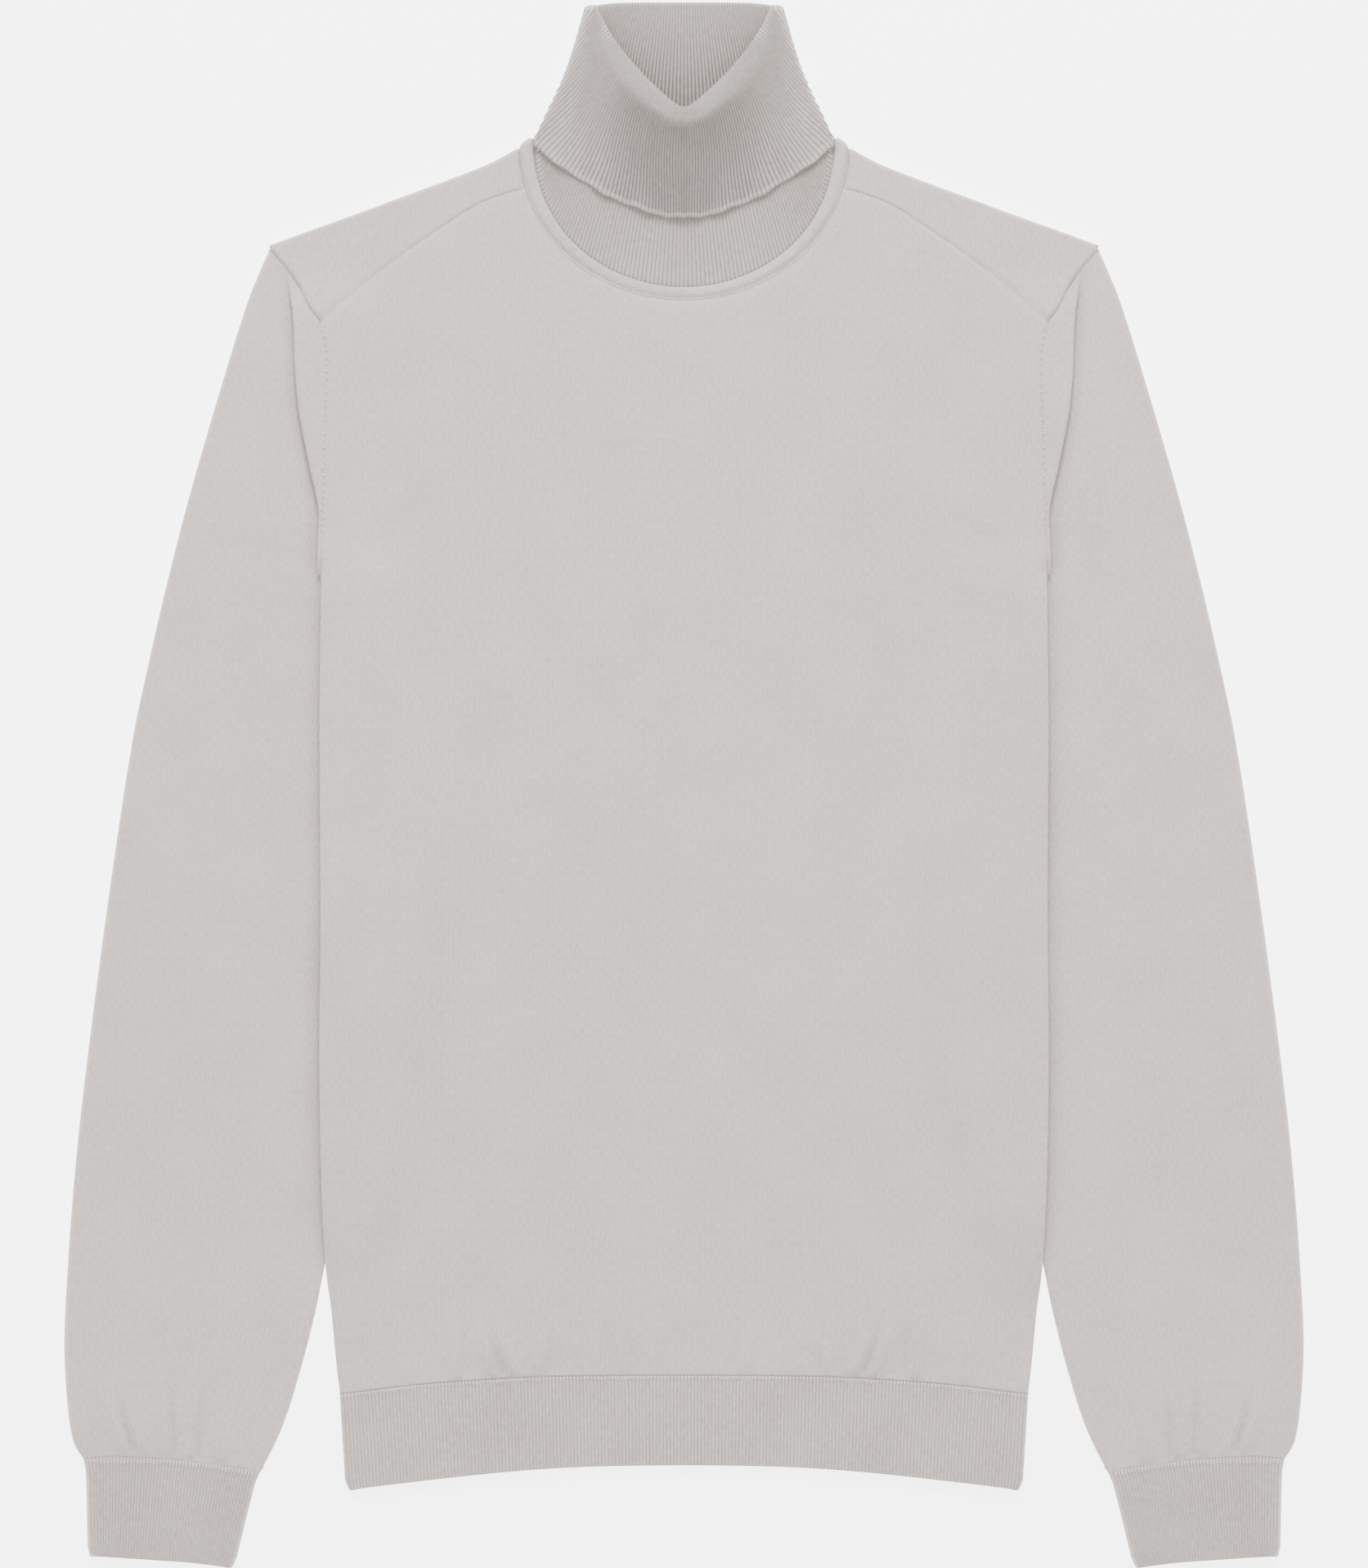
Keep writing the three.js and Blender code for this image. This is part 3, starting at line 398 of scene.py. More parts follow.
def front_top(u):
    """The front panel's top edge: the neckline's ellipse up to a share of a half, then the forward seam."""
    angle = np.clip(u / 0.5, 0, 1) * NECK_SEAM_ANGLE
    ellipse_y = NECK_Y - (NECK_FRONT_DROP + GAP) * np.cos(angle)
    ellipse = np.stack([(NECK_HALF + GAP) * np.sin(angle), ellipse_y], -1)
    seam = route(FORWARD_SEAM)(np.clip(u / 0.5 - 1, 0, 1)) - [0, GAP]
    return np.where(np.asarray(u)[..., None] < 0.5, ellipse, seam)


half_shares = [np.linspace(0, 0.5, 38), np.linspace(0.5, 0.99, 40)[1:], [0.993, 0.996, 0.998, 1]]
half_shares = np.concatenate(half_shares)
front_u = np.concatenate([-half_shares[:0:-1], half_shares])
front_v = stations(150, 0.006)
front_plan = patch(
    route(HEM_SEAM),
    front_top,
    route([HEM_SEAM[0], (0, NECK_Y - NECK_FRONT_DROP)]),
    route(SIDE_SEAM + ARMHOLE),
    front_u,
    front_v,
)
front_x, front_y = front_plan[..., 0], front_plan[..., 1]
front_z = front_level(np.abs(front_x), front_y)
from_hem = front_v[:, None] * (NECK_Y - HEM_SEAM[0][1])
front_z += folds(FRONT_PUCKERS, front_x, front_y) * ramp(0, PUCKER_START, from_hem)
front_z += folds(FRONT_WAVES, front_x, front_y)
from_seam = (1 - front_v[:, None]) * (NECK_Y - HEM_SEAM[0][1])
front_z -= SEAM_DIP * np.exp(-((from_seam / SEAM_SOFT) ** 2)) * (np.abs(front_u) > NECK_SHARE)
front_z -= NECK_DIP * np.exp(-((from_seam / NECK_SOFT) ** 2)) * (np.abs(front_u) <= NECK_SHARE)
from_armhole = (1 - np.abs(front_u)) * side_at(0.15)
front_z -= SEAM_DIP * np.exp(-((from_armhole / ARMHOLE_SOFT) ** 2)) * ramp(*ARMHOLE_DIPS, front_y)
front = cloth("front_panel_knit", [(grid(front_plan, front_z), front_plan)], SHELL, jersey)


def on_front(x, y):
    """Points on the front panel's outer surface."""
    soft = folds(FRONT_PUCKERS, x, y) + folds(FRONT_WAVES, x, y)
    return np.stack([x, y, front_level(np.abs(x), y) + soft + SHELL / 2], -1)


# Linking stitches: a chain along the neckline's seam, marks where the panel was narrowed beside it, and short
# ones along the armholes. The chain goes to and fro between the two edges of its row.
CHAIN_PITCH = 0.0016
CHAIN_EDGES = (-0.0003, 0.0015)
CHAIN_ANGLE = 1.45
ARMHOLE_STITCHES = 30
turns = round(2 * CHAIN_ANGLE * NECK_HALF / CHAIN_PITCH)
angle = np.linspace(-CHAIN_ANGLE, CHAIN_ANGLE, 2 * turns + 1)
away = np.where(np.arange(2 * turns + 1) % 2, CHAIN_EDGES[0], CHAIN_EDGES[1])
chain_x = (NECK_HALF + away) * np.sin(angle)
chain = on_front(chain_x, NECK_Y - (NECK_FRONT_DROP + away) * np.cos(angle)) - (0, 0, NECK_DIP / 2)
mark_share = np.array([0, 0.07, 0.14, 0.46, 0.53, 0.6, 0.92, 1.0])
mark_x, mark_y = mix(0.0905, 0.0672, mark_share), mix(0.3024, 0.2676, mark_share)
seam_y = np.linspace(0.2335, 0.1300, ARMHOLE_STITCHES)
seam_x = route(SIDE_SEAM + ARMHOLE)(np.linspace(0, 1, 600))
seam_x = np.interp(seam_y, seam_x[:, 1], seam_x[:, 0]) - 0.0007 - 0.0006 * (np.arange(ARMHOLE_STITCHES) % 2)
starts, ends = [chain[:-1]], [chain[1:]]
for hand in (-1, 1):
    for x, y, reach, rise in ((mark_x, mark_y, 0.0005, 0.0014), (seam_x, seam_y, 0.0012, 0.0008)):
        starts.append(on_front(hand * x, y))
        ends.append(on_front(hand * (x + reach), y + rise))
starts, ends = np.concatenate(starts), np.concatenate(ends)
thickness = np.where(np.arange(len(starts)) < len(chain) - 1, 0.00026, 0.00046)[:, None]
front_stitches = stitches("front_linking_stitches", starts, ends, thickness)
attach(front_stitches, "root")
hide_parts("front_panel")
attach(front, "root")

# Back panel
# One piece of the same jersey. It turns over each shoulder to the forward seam on the front, as a strip that
# widens towards the armhole, and it carries the back neckline.
NECK_BACK_DROP = 0.010
SHOULDER_FOLD = [
    (0.0846, 0.3252), (0.099, 0.3174), (0.1204, 0.3089), (0.1431, 0.3005), (0.1657, 0.2921),
    (0.1893, 0.2836), (0.2124, 0.2752),
]
ARMHOLE_TOP = [(0.1926, 0.246), (0.1993, 0.259), (0.2116, 0.2735)]
# The edge that a seam turns in under its neighbour: how far it reaches, and how deep it lies
TURN_IN = [(0.0004, 0.0004), (0.0009, 0.0009), (0.0030, 0.00105)]
# Soft folds under the garment, where it was smoothed out by hand
BACK_WAVES = [
    (-0.020, 0.220, -0.090, -0.160, 0.020, 0.0005),
    (0.110, 0.180, 0.040, -0.120, 0.024, 0.0006),
    (0.020, -0.080, -0.040, -0.290, 0.012, 0.0007),
    (0.090, -0.220, 0.120, -0.300, 0.006, 0.0006),
    (-0.110, -0.240, -0.094, -0.304, 0.005, 0.0007),
]


def back_top(u):
    """The back panel's top edge: a shallow ellipse up to a share of 0.42, then the shoulder's fold."""
    share = np.clip(u / 0.42, 0, 1)
    y = mix(NECK_Y, SHOULDER_FOLD[0][1], share) - NECK_BACK_DROP * np.sqrt(1 - share * share)
    shallow = np.stack([SHOULDER_FOLD[0][0] * share, y], -1)
    fold = route(SHOULDER_FOLD)(np.clip((u - 0.42) / 0.58, 0, 1))
    return np.where(np.asarray(u)[..., None] < 0.42, shallow, fold)


shoulder_shares = np.linspace(0, 1, 44)
half_shares = np.concatenate([np.linspace(0, 0.42, 26)[:-1], 0.42 + 0.58 * shoulder_shares])
back_u = np.concatenate([-half_shares[:0:-1], half_shares])
back_plan = patch(
    route(HEM_SEAM),
    back_top,
    route([HEM_SEAM[0], (0, NECK_Y - NECK_BACK_DROP)]),
    route(SIDE_SEAM + ARMHOLE + ARMHOLE_TOP + SHOULDER_FOLD[-1:]),
    back_u,
    stations(130, 0.006),
)
back_x, back_y = back_plan[..., 0], back_plan[..., 1]
back_z = back_level(np.abs(back_x), back_y)
waved = back_z + folds(BACK_WAVES, back_x, back_y) * ramp(0.31, 0.25, back_y)
back_z = np.where(np.abs(back_y) < 0.31, waved, back_z)
back_grids = [(grid(back_plan, back_z)[:, ::-1], back_plan[:, ::-1])]


def neck_edge(t):
    """The strip's edge along the neckline, from the shoulder's fold round to the forward seam."""
    angle = mix(np.pi / 2 - 0.09, NECK_SEAM_ANGLE, t)
    edge_x = NECK_HALF * np.sin(angle) - 0.0001 * (1 - t)
    edge = np.stack([edge_x, NECK_Y - NECK_FRONT_DROP * np.cos(angle)], -1)
    return np.where(np.asarray(t)[..., None] == 0, SHOULDER_FOLD[0], edge)


armhole_edge = route(SHOULDER_FOLD[-1:] + ARMHOLE_TOP[::-1] + ARMHOLE[-1:])
strip_v = np.concatenate([[0.05, 0.1], np.linspace(0.16, 0.97, 18), [0.98, 0.99, 1]])
for hand in (-1, 1):
    foot = route(SHOULDER_FOLD)(shoulder_shares)
    ahead = np.gradient(foot, axis=0)
    out = np.stack([-ahead[:, 1], ahead[:, 0]], -1) / np.hypot(*ahead.T)[:, None]
    top = front_level(foot[:, 0], foot[:, 1])
    radius = (top - BACK_LEVEL) / 2
    angle = np.linspace(-np.pi / 2, np.pi / 2, 9)[:, None]
    bent = grid(foot + out * (radius * np.cos(angle))[..., None], BACK_LEVEL + radius * (1 + np.sin(angle)))
    over = patch(
        route(SHOULDER_FOLD), route(FORWARD_SEAM), neck_edge, armhole_edge, shoulder_shares, strip_v
    )
    dip = SEAM_DIP * ramp(0.90, 1, strip_v)[:, None] ** 2
    over = grid(over, front_level(over[..., 0], over[..., 1]) - dip)
    way = over[-1] - over[-4]
    way /= np.linalg.norm(way, axis=-1, keepdims=True)
    turned = [over[-1] + way * reach - (0, 0, drop) for reach, drop in TURN_IN]
    strip = np.concatenate([bent, over, turned]).transpose(1, 0, 2) * (hand, 1, 1)
    length = np.cumsum(np.linalg.norm(np.diff(strip, axis=1, prepend=strip[:, :1]), axis=-1), axis=1)
    flat = np.stack([strip[..., 0], foot[:, 1:] + length], -1)
    if hand < 0:
        strip, flat = strip[::-1], flat[::-1]
    back_grids.append((strip, flat))
back = cloth("back_panel_knit", back_grids, SHELL, jersey)
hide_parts("back_panel")
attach(back, "root")

# Sleeves
# Two tubes of the same jersey, set in at the armholes. Laid down beside the body, each makes a tuck below its
# shoulder, runs under the body's side, and gathers a little where it meets the cuff.
SLEEVE_LEVEL = 0.0034
VALLEY = 0.0016
VALLEY_WIDTH = 0.0058
CUFF_FULLNESS = 0.0008
ARMPIT = 0.108
SEAM_CLOSE = 0.0009
PLEAT_REACH = 0.0045
OUTER_FOLD = [
    (0.2126, 0.275), (0.2174, 0.2646), (0.227, 0.2394), (0.2497, 0.1638), (0.2631, 0.1134),
    (0.2749, 0.063), (0.285, 0.0126), (0.2997, -0.0882), (0.3119, -0.189), (0.3177, -0.2688),
    (0.3177, -0.304), (0.3144, -0.3343), (0.3086, -0.3458),
]
SLEEVE_HEAD = [
    (0.2126, 0.275), (0.2001, 0.2585), (0.1939, 0.245), (0.1886, 0.2366), (0.1849, 0.216),
    (0.186, 0.18), (0.1866, 0.113),
]
CUFF_SEAM = [(0.3086, -0.3458), (0.2925, -0.3442), (0.2631, -0.3462), (0.2306, -0.3502), (0.2176, -0.3532)]
TUCK = [
    (0.1862, 0.108), (0.1864, 0.125), (0.1870, 0.143), (0.1915, 0.1668), (0.1960, 0.1905),
    (0.1982, 0.214), (0.1990, 0.2377), (0.2006, 0.2500), (0.2036, 0.2600), (0.2122, 0.274),
]
# The tuck's folded profile: the way outwards from its line, and the share of the rise
PLEAT = np.array(
    [
        (0.0030, 0), (0.0015, 0), (0.0003, 0), (-0.0008, 0), (-0.0016, 0.06), (-0.0019, 0.22),
        (-0.0015, 0.40), (-0.0006, 0.48), (0.0003, 0.52), (0.0009, 0.62), (0.0011, 0.78), (0.0008, 0.93),
        (0.0000, 1.02), (-0.0015, 1.03), (-0.0030, 1.0),
    ]
)
SLEEVE_PUCKERS = [
    (0.2990, -0.306, 0.2850, -0.348, 0.0030, 0.0030),
    (0.2940, -0.306, 0.2812, -0.348, 0.0022, -0.0030),
    (0.2890, -0.312, 0.2768, -0.348, 0.0026, 0.0022),
    (0.2680, -0.286, 0.2650, -0.348, 0.0030, 0.0022),
    (0.2640, -0.294, 0.2618, -0.348, 0.0014, -0.0022),
    (0.2510, -0.298, 0.2540, -0.350, 0.0028, 0.0020),
    (0.2472, -0.305, 0.2505, -0.350, 0.0015, -0.0019),
    (0.2350, -0.312, 0.2385, -0.352, 0.0030, 0.0014),
]
SLEEVE_WAVES = [
    (0.262, 0.080, 0.298, -0.160, 0.016, 0.0010),
    (0.225, 0.020, 0.262, -0.230, 0.020, 0.0009),
    (0.215, 0.205, 0.236, 0.080, 0.010, 0.0008),
    (0.240, -0.120, 0.285, -0.290, 0.014, -0.0006),
]
outer_at, head_at, tuck_at = width_at(OUTER_FOLD), width_at(SLEEVE_HEAD), width_at(TUCK)
cuff_seam = route(CUFF_SEAM)(np.linspace(0, 1, 100))


def sleeve_level(half, y):
    """The sleeve's front height: level, lower beside and under the body and the tuck, and fuller above the
    cuff."""
    line = mix(side_at(y), tuck_at(y), ramp(0.100, 0.125, y))
    hidden = ramp(line + 0.008, line, half) * (1 - 0.25 * ramp(0.112, 0.140, y)) * (1 - ramp(0.240, 0.262, y))
    hidden = hidden * ramp(-0.262, -0.240, y)
    full = CUFF_FULLNESS * ramp(-0.350, -0.315, y) * (1 - ramp(-0.280, -0.200, y))
    from_cuff = y - np.interp(-half, -cuff_seam[:, 0], cuff_seam[:, 1])
    soft = folds(SLEEVE_PUCKERS, half, y) * ramp(0, PUCKER_START, from_cuff) + folds(SLEEVE_WAVES, half, y)
    return mix(SLEEVE_LEVEL + full + soft, BACK_LEVEL + 1.3 * SHELL, hidden)


def half_turn(foot, y, way, radius, count):
    """Points of a round fold between two layers, from the lower to the upper one, ends left out."""
    angle = np.linspace(-np.pi / 2, np.pi / 2, count + 2)[1:-1]
    x = foot + way * radius * np.cos(angle)
    return np.stack([x, np.broadcast_to(y, x.shape), BACK_LEVEL + radius * (1 + np.sin(angle))], -1)


def sleeve(side):
    """The sleeve's grids: rows down the arm, each across the front from the inner edge to the outer fold and
    back across the under layer, and a second grid for the fold below the armpit."""
    level = np.concatenate(
        [
            np.linspace(0.2748, 0.262, 11)[:-1],
            np.linspace(0.262, 0.100, 56),
            np.linspace(0.097, -0.300, 124),
            np.linspace(-0.302, -0.3495, 26),
        ]
    )
    seam = route(CUFF_SEAM)
    low = np.clip((-0.305 - level) / 0.0445, 0, 1)[:, None]

    def plan(w):
        """A plan point of each row: level rows that turn into the cuff's seam over the last 45 mm."""
        y = mix(level[:, None], seam(w)[..., 1], low)
        head = head_at(y) - SEAM_CLOSE * ramp(0.113, 0.150, y)
        inner = np.where(y > ARMPIT, head, hidden_fold_at(y))
        return mix(outer_at(y), inner, w), y

    ends = [plan(np.full((len(level), 1), w)) for w in (0.0, 1.0)]
    (outer_x, outer_y), (inner_x, inner_y) = ends
    closed = level[:, None] <= ARMPIT
    radius = (sleeve_level(outer_x, outer_y) - BACK_LEVEL) / 2
    inner_radius = (sleeve_level(inner_x, inner_y) - BACK_LEVEL) / 2
    width = outer_x - inner_x
    first = np.minimum((radius + SHELL / 2) / width, 0.45)
    radius = np.minimum(radius, 0.4 * width)
    last = 1 - np.where(closed, inner_radius + SHELL / 2, 0) / width
    line = np.where(level > ARMPIT, tuck_at(level), side_at(level))[:, None]
    tucked = ramp(0.1065, 0.1085, level)[:, None] * (1 - ramp(0.250, 0.268, level))[:, None]
    step = tucked * (front_level(inner_x, inner_y) - sleeve_level(inner_x, inner_y))
    flat_profile = np.linspace(0.003, -0.003, len(PLEAT))
    at_line = np.clip((outer_x - line) / width, first + 0.1, last - 0.012)
    room = np.minimum(1, 0.9 * np.minimum(last - at_line, at_line - first) * width / PLEAT_REACH)
    profile = mix(flat_profile, PLEAT[:, 0], tucked) * room / width
    upper = mix(first, at_line - PLEAT_REACH * room / width, np.linspace(0, 1, 48)[None, :-1])
    pleat = at_line - profile
    lower = mix(pleat[:, -1:], last, np.linspace(0, 1, 14)[None, 1:])
    w = np.concatenate([upper, pleat, lower], 1)
    rise = np.concatenate([upper * 0, PLEAT[:, 1] + pleat * 0, lower * 0 + 1], 1) * step
    x, y = plan(w)
    z = sleeve_level(x, y) + rise
    z -= VALLEY * tucked * np.exp(-(((w - at_line) * width / VALLEY_WIDTH) ** 2)) * (1 - rise / np.max(rise))
    z = mix(z, np.minimum(z, BACK_LEVEL + 2 * radius), (1 - np.clip((w - first) / (last - first), 0, 1)) ** 2)
    top = grid(np.stack([x, y], -1), z)
    x, y = plan(mix(first, last, np.linspace(0, 1, 34)[None]))
    under = grid(np.stack([x, y], -1), np.full(x.shape, BACK_LEVEL))
    outer_turn = half_turn(top[:, :1, 0], top[:, :1, 1], 1, (top[:, :1, 2] - BACK_LEVEL) / 2, 7)[:, ::-1]
    inner_turn = half_turn(top[:, -1:, 0], top[:, -1:, 1], -1, (top[:, -1:, 2] - BACK_LEVEL) / 2, 7)
    around = np.concatenate([top[:, ::-1], outer_turn, under], 1)
    closing = np.concatenate([under[:, -1:], inner_turn, top[:, -1:]], 1)[closed[:, 0]]
    head = ~closed[:, 0]
    fading = ramp(0.2760, 0.2640, level)[:, None]
    turned = [top[:, -1]] + [top[:, -1] - fading * (reach, 0, drop) for reach, drop in TURN_IN]
    turned_under = [under[:, -1]] + [under[:, -1] - fading * (reach, 0, -drop) for reach, drop in TURN_IN]
    turned, turned_under = np.stack(turned[::-1], 1)[head], np.stack(turned_under, 1)[head]
    grids = []
    for points in (around, closing, turned, turned_under):
        flat = np.stack([outer_at(points[..., 1]) - points[..., 0], points[..., 1]], -1)
        grids.append((points * (side, 1, 1), flat))
    return grids


for name, side in (("left", -1), ("right", 1)):
    arm = cloth(f"sleeve_{name}_knit", sleeve(side), SHELL, jersey)
    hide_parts(f"sleeve_{name}")
    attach(arm, "root")

# Hem bands
# Front and back bands of 1x1 rib, knitted on below the panels. They draw the panels in a little, so the cloth
# puckers above them.
RIB = 0.0015
RIB_SHELL = 0.0011
RIB_PITCH = 0.00175
RIB_HEIGHT = 0.00034
HEM_CORNER = 0.0030
HEM_BOTTOM = [
    (0, -0.3494), (0.0405, -0.3499), (0.0741, -0.3515), (0.1077, -0.3545), (0.1413, -0.3583),
    (0.1734, -0.3622),
]

# Fine wool rib, one plain and one purl wale by turns: matt, and darker than the jersey by painted shade of
# its grooves, in its colours and between its columns. Its ribs are about 1.5 mm apart, drawn at 1.75 mm so
# that they show.
rib = knit("wool 1x1 rib with painted groove shade", "D2C9C3", "B3A9A3", RIB_PITCH, 0.0011, 0.00025, 0.55)


def ribbed(points, phase, height):
    """Moves a grid along its own normals by the height of ribs: a cosine of the rib count across the rows."""
    normal = np.cross(np.gradient(points, axis=1), np.gradient(points, axis=0))
    normal /= np.linalg.norm(normal, axis=-1, keepdims=True)
    return points + normal * (height * np.cos(2 * np.pi * phase))[..., None]


def hem_band(z_at, inward):
    """A hem band's grid: rows from the seam to the lower edge, columns across, and its height by share. The
    first rows are turned in behind the panel, down or up as inward says."""
    ribs = round(2 * HEM_BOTTOM[-1][0] / RIB_PITCH)
    u = np.linspace(-1, 1, 4 * ribs + 1)
    v = np.concatenate([[-0.06, -0.015, -0.006], stations(12, 0.02, 2)])[:, None, None]
    plan = mix(route(HEM_SEAM)(np.abs(u)) - [0, 0.0003], route(HEM_BOTTOM)(np.abs(u)), v)
    rounded = HEM_CORNER * np.clip((v[..., 0] - 0.90) / 0.10, 0, 1) ** 3 * np.abs(u) ** 40
    plan[..., 0] = (plan[..., 0] - rounded) * np.where(u < 0, -1, 1)
    points = grid(plan, z_at(np.abs(u), plan) + inward * 0.0011 * ramp(0.008, -0.01, v[..., 0]))
    flat = np.stack([plan[..., 0] * 0 + (u + 1) * ribs / 2 * RIB_PITCH, plan[..., 1]], -1)
    phase = (u + 1) * ribs / 2 + (inward + 1) / 4 + 0 * plan[..., 0]
    return ribbed(points, phase, RIB_HEIGHT), flat


def hem_front_z(share, plan):
    """The front band's height: level with the front panel, down to the back band at its sides."""
    return mix(FRONT_LEVEL + 0.0001, 2 * RIB + GAP - RIB / 2, ramp(0.96, 1, share) ** 2) + plan[..., 0] * 0


def hem_back_z(share, plan):
    """The back band's height: flat on the table."""
    return RIB / 2 + plan[..., 0] * 0


# The loops of the linked seam stand on the band's edge, one for each rib, a little uneven.
HEM_LOOP = 0.0019
LOOP_RADIUS = 0.00038
loop_share = np.linspace(-0.985, 0.985, 2 * round(HEM_SEAM[-1][0] / RIB_PITCH))
loop_plan = route(HEM_SEAM)(np.abs(loop_share)) - [0, 0.0002]
loop_plan[:, 0] *= np.sign(loop_share)
loop_top = RIB_SHELL / 2 + RIB_HEIGHT + 0.0001
bands = {"front": (hem_front_z, -1, 1), "back": (hem_back_z, 1, -1)}
for name, (z_at, inward, outward) in bands.items():
    band = cloth(f"hem_{name}_rib", [hem_band(z_at, inward)], RIB_SHELL, rib)
    loop_start = grid(loop_plan, z_at(np.abs(loop_share), loop_plan) + outward * loop_top)
    uneven = HEM_LOOP * (1 + 0.25 * np.sin(7.3 * np.arange(len(loop_share))))[:, None]
    loops = stitches(f"hem_{name}_loops", loop_start, loop_start - uneven * (0, 1, 0), LOOP_RADIUS)
    for piece in (band, loops):
        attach(piece, "root")
    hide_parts(f"hem_{name}")

# Cuffs
# Two tubes of the same rib at the wrists, narrower than the sleeves, which gather into them.
CUFF_TOP = [(0.3069, -0.3464), (0.2631, -0.3469), (0.2306, -0.3509), (0.2192, -0.3536)]
CUFF_EASE = 0.0016
CUFF_LOOPS = 50
CUFF_CORNER = 0.0022
CUFF_BOTTOM = [(0.3056, -0.3959), (0.284, -0.3973), (0.2589, -0.399), (0.2463, -0.4002), (0.2314, -0.402)]


def cuff(side):
    """A flattened ribbed tube: rows from the seam to the opening, columns across the upper layer, round the
    inner fold, back across the lower layer and round the outer fold."""
    low, high = RIB / 2, 3 * RIB / 2 + HOLLOW
    radius = (high - low) / 2
    top, bottom = route(CUFF_TOP), route(CUFF_BOTTOM)
    width = CUFF_TOP[0][0] - CUFF_TOP[-1][0]
    ribs = round(width / RIB_PITCH)
    inset = (radius + RIB_SHELL / 2) / width
    v = np.concatenate([[-0.06, -0.015, -0.006], stations(12, 0.02, 2)])[:, None, None]
    share = mix(inset, 1 - inset, np.linspace(0, 1, 4 * ribs + 1))
    layer = mix(top(share), bottom(share), v)
    eased = CUFF_EASE * np.exp(-v[..., 0] / 0.07) - CUFF_CORNER * np.clip((v[..., 0] - 0.9) / 0.1, 0, 1) ** 3
    layer[..., 0] += (1 - 2 * share) ** 5 * eased
    angle = np.linspace(np.pi / 2, -np.pi / 2, 14)[1:-1]
    turns = []
    for foot, way in ((layer[:, -1:], -1), (layer[:, :1], 1)):
        x = foot[..., 0] + way * radius * np.cos(angle)
        y = foot[..., 1] + 0 * x
        turns.append(np.stack([x, y, low + radius * (1 + np.sin(angle)) + 0 * x], -1))
    upper = grid(layer, np.full(layer.shape[:2], high))
    lower = grid(layer[:, ::-1], np.full(layer.shape[:2], low))
    loop = np.concatenate([upper, turns[0], lower, turns[1][:, ::-1]], 1)
    loop[..., 2] = mix(loop[..., 2], (low + high) / 2, 0.6 * ramp(0.008, -0.01, v[..., 0]))
    turn_phase = np.linspace(0, 3, 14)[1:-1]
    phase = np.concatenate(
        [
            np.linspace(0, ribs, 4 * ribs + 1),
            ribs + turn_phase,
            ribs + 3 + np.linspace(0, ribs, 4 * ribs + 1),
            2 * ribs + 3 + turn_phase,
        ]
    )
    loop = np.concatenate([loop, loop[:, :1]], 1)
    phase = np.append(phase, 2 * ribs + 6)
    flat = np.stack([phase * RIB_PITCH + 0 * loop[..., 0], loop[..., 1]], -1)
    points = ribbed(loop, phase + 0.5 + 0 * loop[..., 0], RIB_HEIGHT)
    points[:, -1] = points[:, 0]
    return points * (side, 1, 1), flat


for name, side in (("left", -1), ("right", 1)):
    band = cloth(f"cuff_{name}_rib", [cuff(side)], RIB_SHELL, rib)
    loop_plan = (route(CUFF_TOP)(np.linspace(0.03, 0.97, CUFF_LOOPS)) - [0, 0.0004]) * (side, 1)
    loop_start = grid(loop_plan, np.full(CUFF_LOOPS, 3 * RIB / 2 + HOLLOW + loop_top))
    uneven = HEM_LOOP * (1 + 0.25 * np.sin(5.1 * np.arange(CUFF_LOOPS)))[:, None]
    loops = stitches(f"cuff_{name}_loops", loop_start, loop_start - uneven * (0, 1, 0), LOOP_RADIUS)
    for piece in (band, loops):
        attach(piece, "root")
    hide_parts(f"cuff_{name}")

# Linking band
# A smooth strip of jersey, 5 mm wide, that joins the collar to the neckline all the way round.
TRIM_WIDTH = 0.005


def neck_loop(front, back, front_z, back_z, bulge, shares, turn_count, back_shares, flatness=1.0):
    """A loop around the neck: the front layer from the middle to the side, a fold that faces bulge from +X,
    the back layer to the middle, then the same mirrored. front and back are plans by share, and the fold is
    an ellipse whose width is flatness times its height."""
    high, low = front_z(1.0), back_z(1.0)
    radius = (high - low) / 2
    angle = np.linspace(np.pi / 2, -np.pi / 2, turn_count + 2)[1:-1]
    foot = mix(front(1.0), back(1.0), (1 - np.sin(angle[:, None])) / 2)
    away = flatness * radius * np.cos(angle)[:, None] * [np.cos(bulge), np.sin(bulge)]
    turn = grid(foot + away, (high + low) / 2 + radius * np.sin(angle))
    upper = grid(front(shares), front_z(shares) + 0 * shares)
    lower = grid(back(back_shares[::-1]), back_z(back_shares[::-1]) + 0 * back_shares)
    right = np.concatenate([upper, turn, lower])
    return np.concatenate([right, right[-2:0:-1] * (-1, 1, 1), right[:1]])


def neckline(inward, thickness):
    """The neckline's loop, moved inwards from the seam: half an ellipse in front, a shallow one behind."""
    high, low = FRONT_LEVEL + (thickness - JERSEY) / 2, thickness / 2
    reach = NECK_HALF - inward - thickness / 2 - (high - low) / 2

    def front(s):
        y = NECK_Y + 0.8 * inward * s**6 - (NECK_FRONT_DROP - inward) * np.cos(s * np.pi / 2)
        return np.stack([reach * np.sin(s * np.pi / 2), y], -1)

    def back(s):
        y = NECK_Y + 0.8 * inward * s**6 - (NECK_BACK_DROP - inward) * np.sqrt(1 - s * s)
        return np.stack([reach * s, y], -1)

    return front, back, high, low


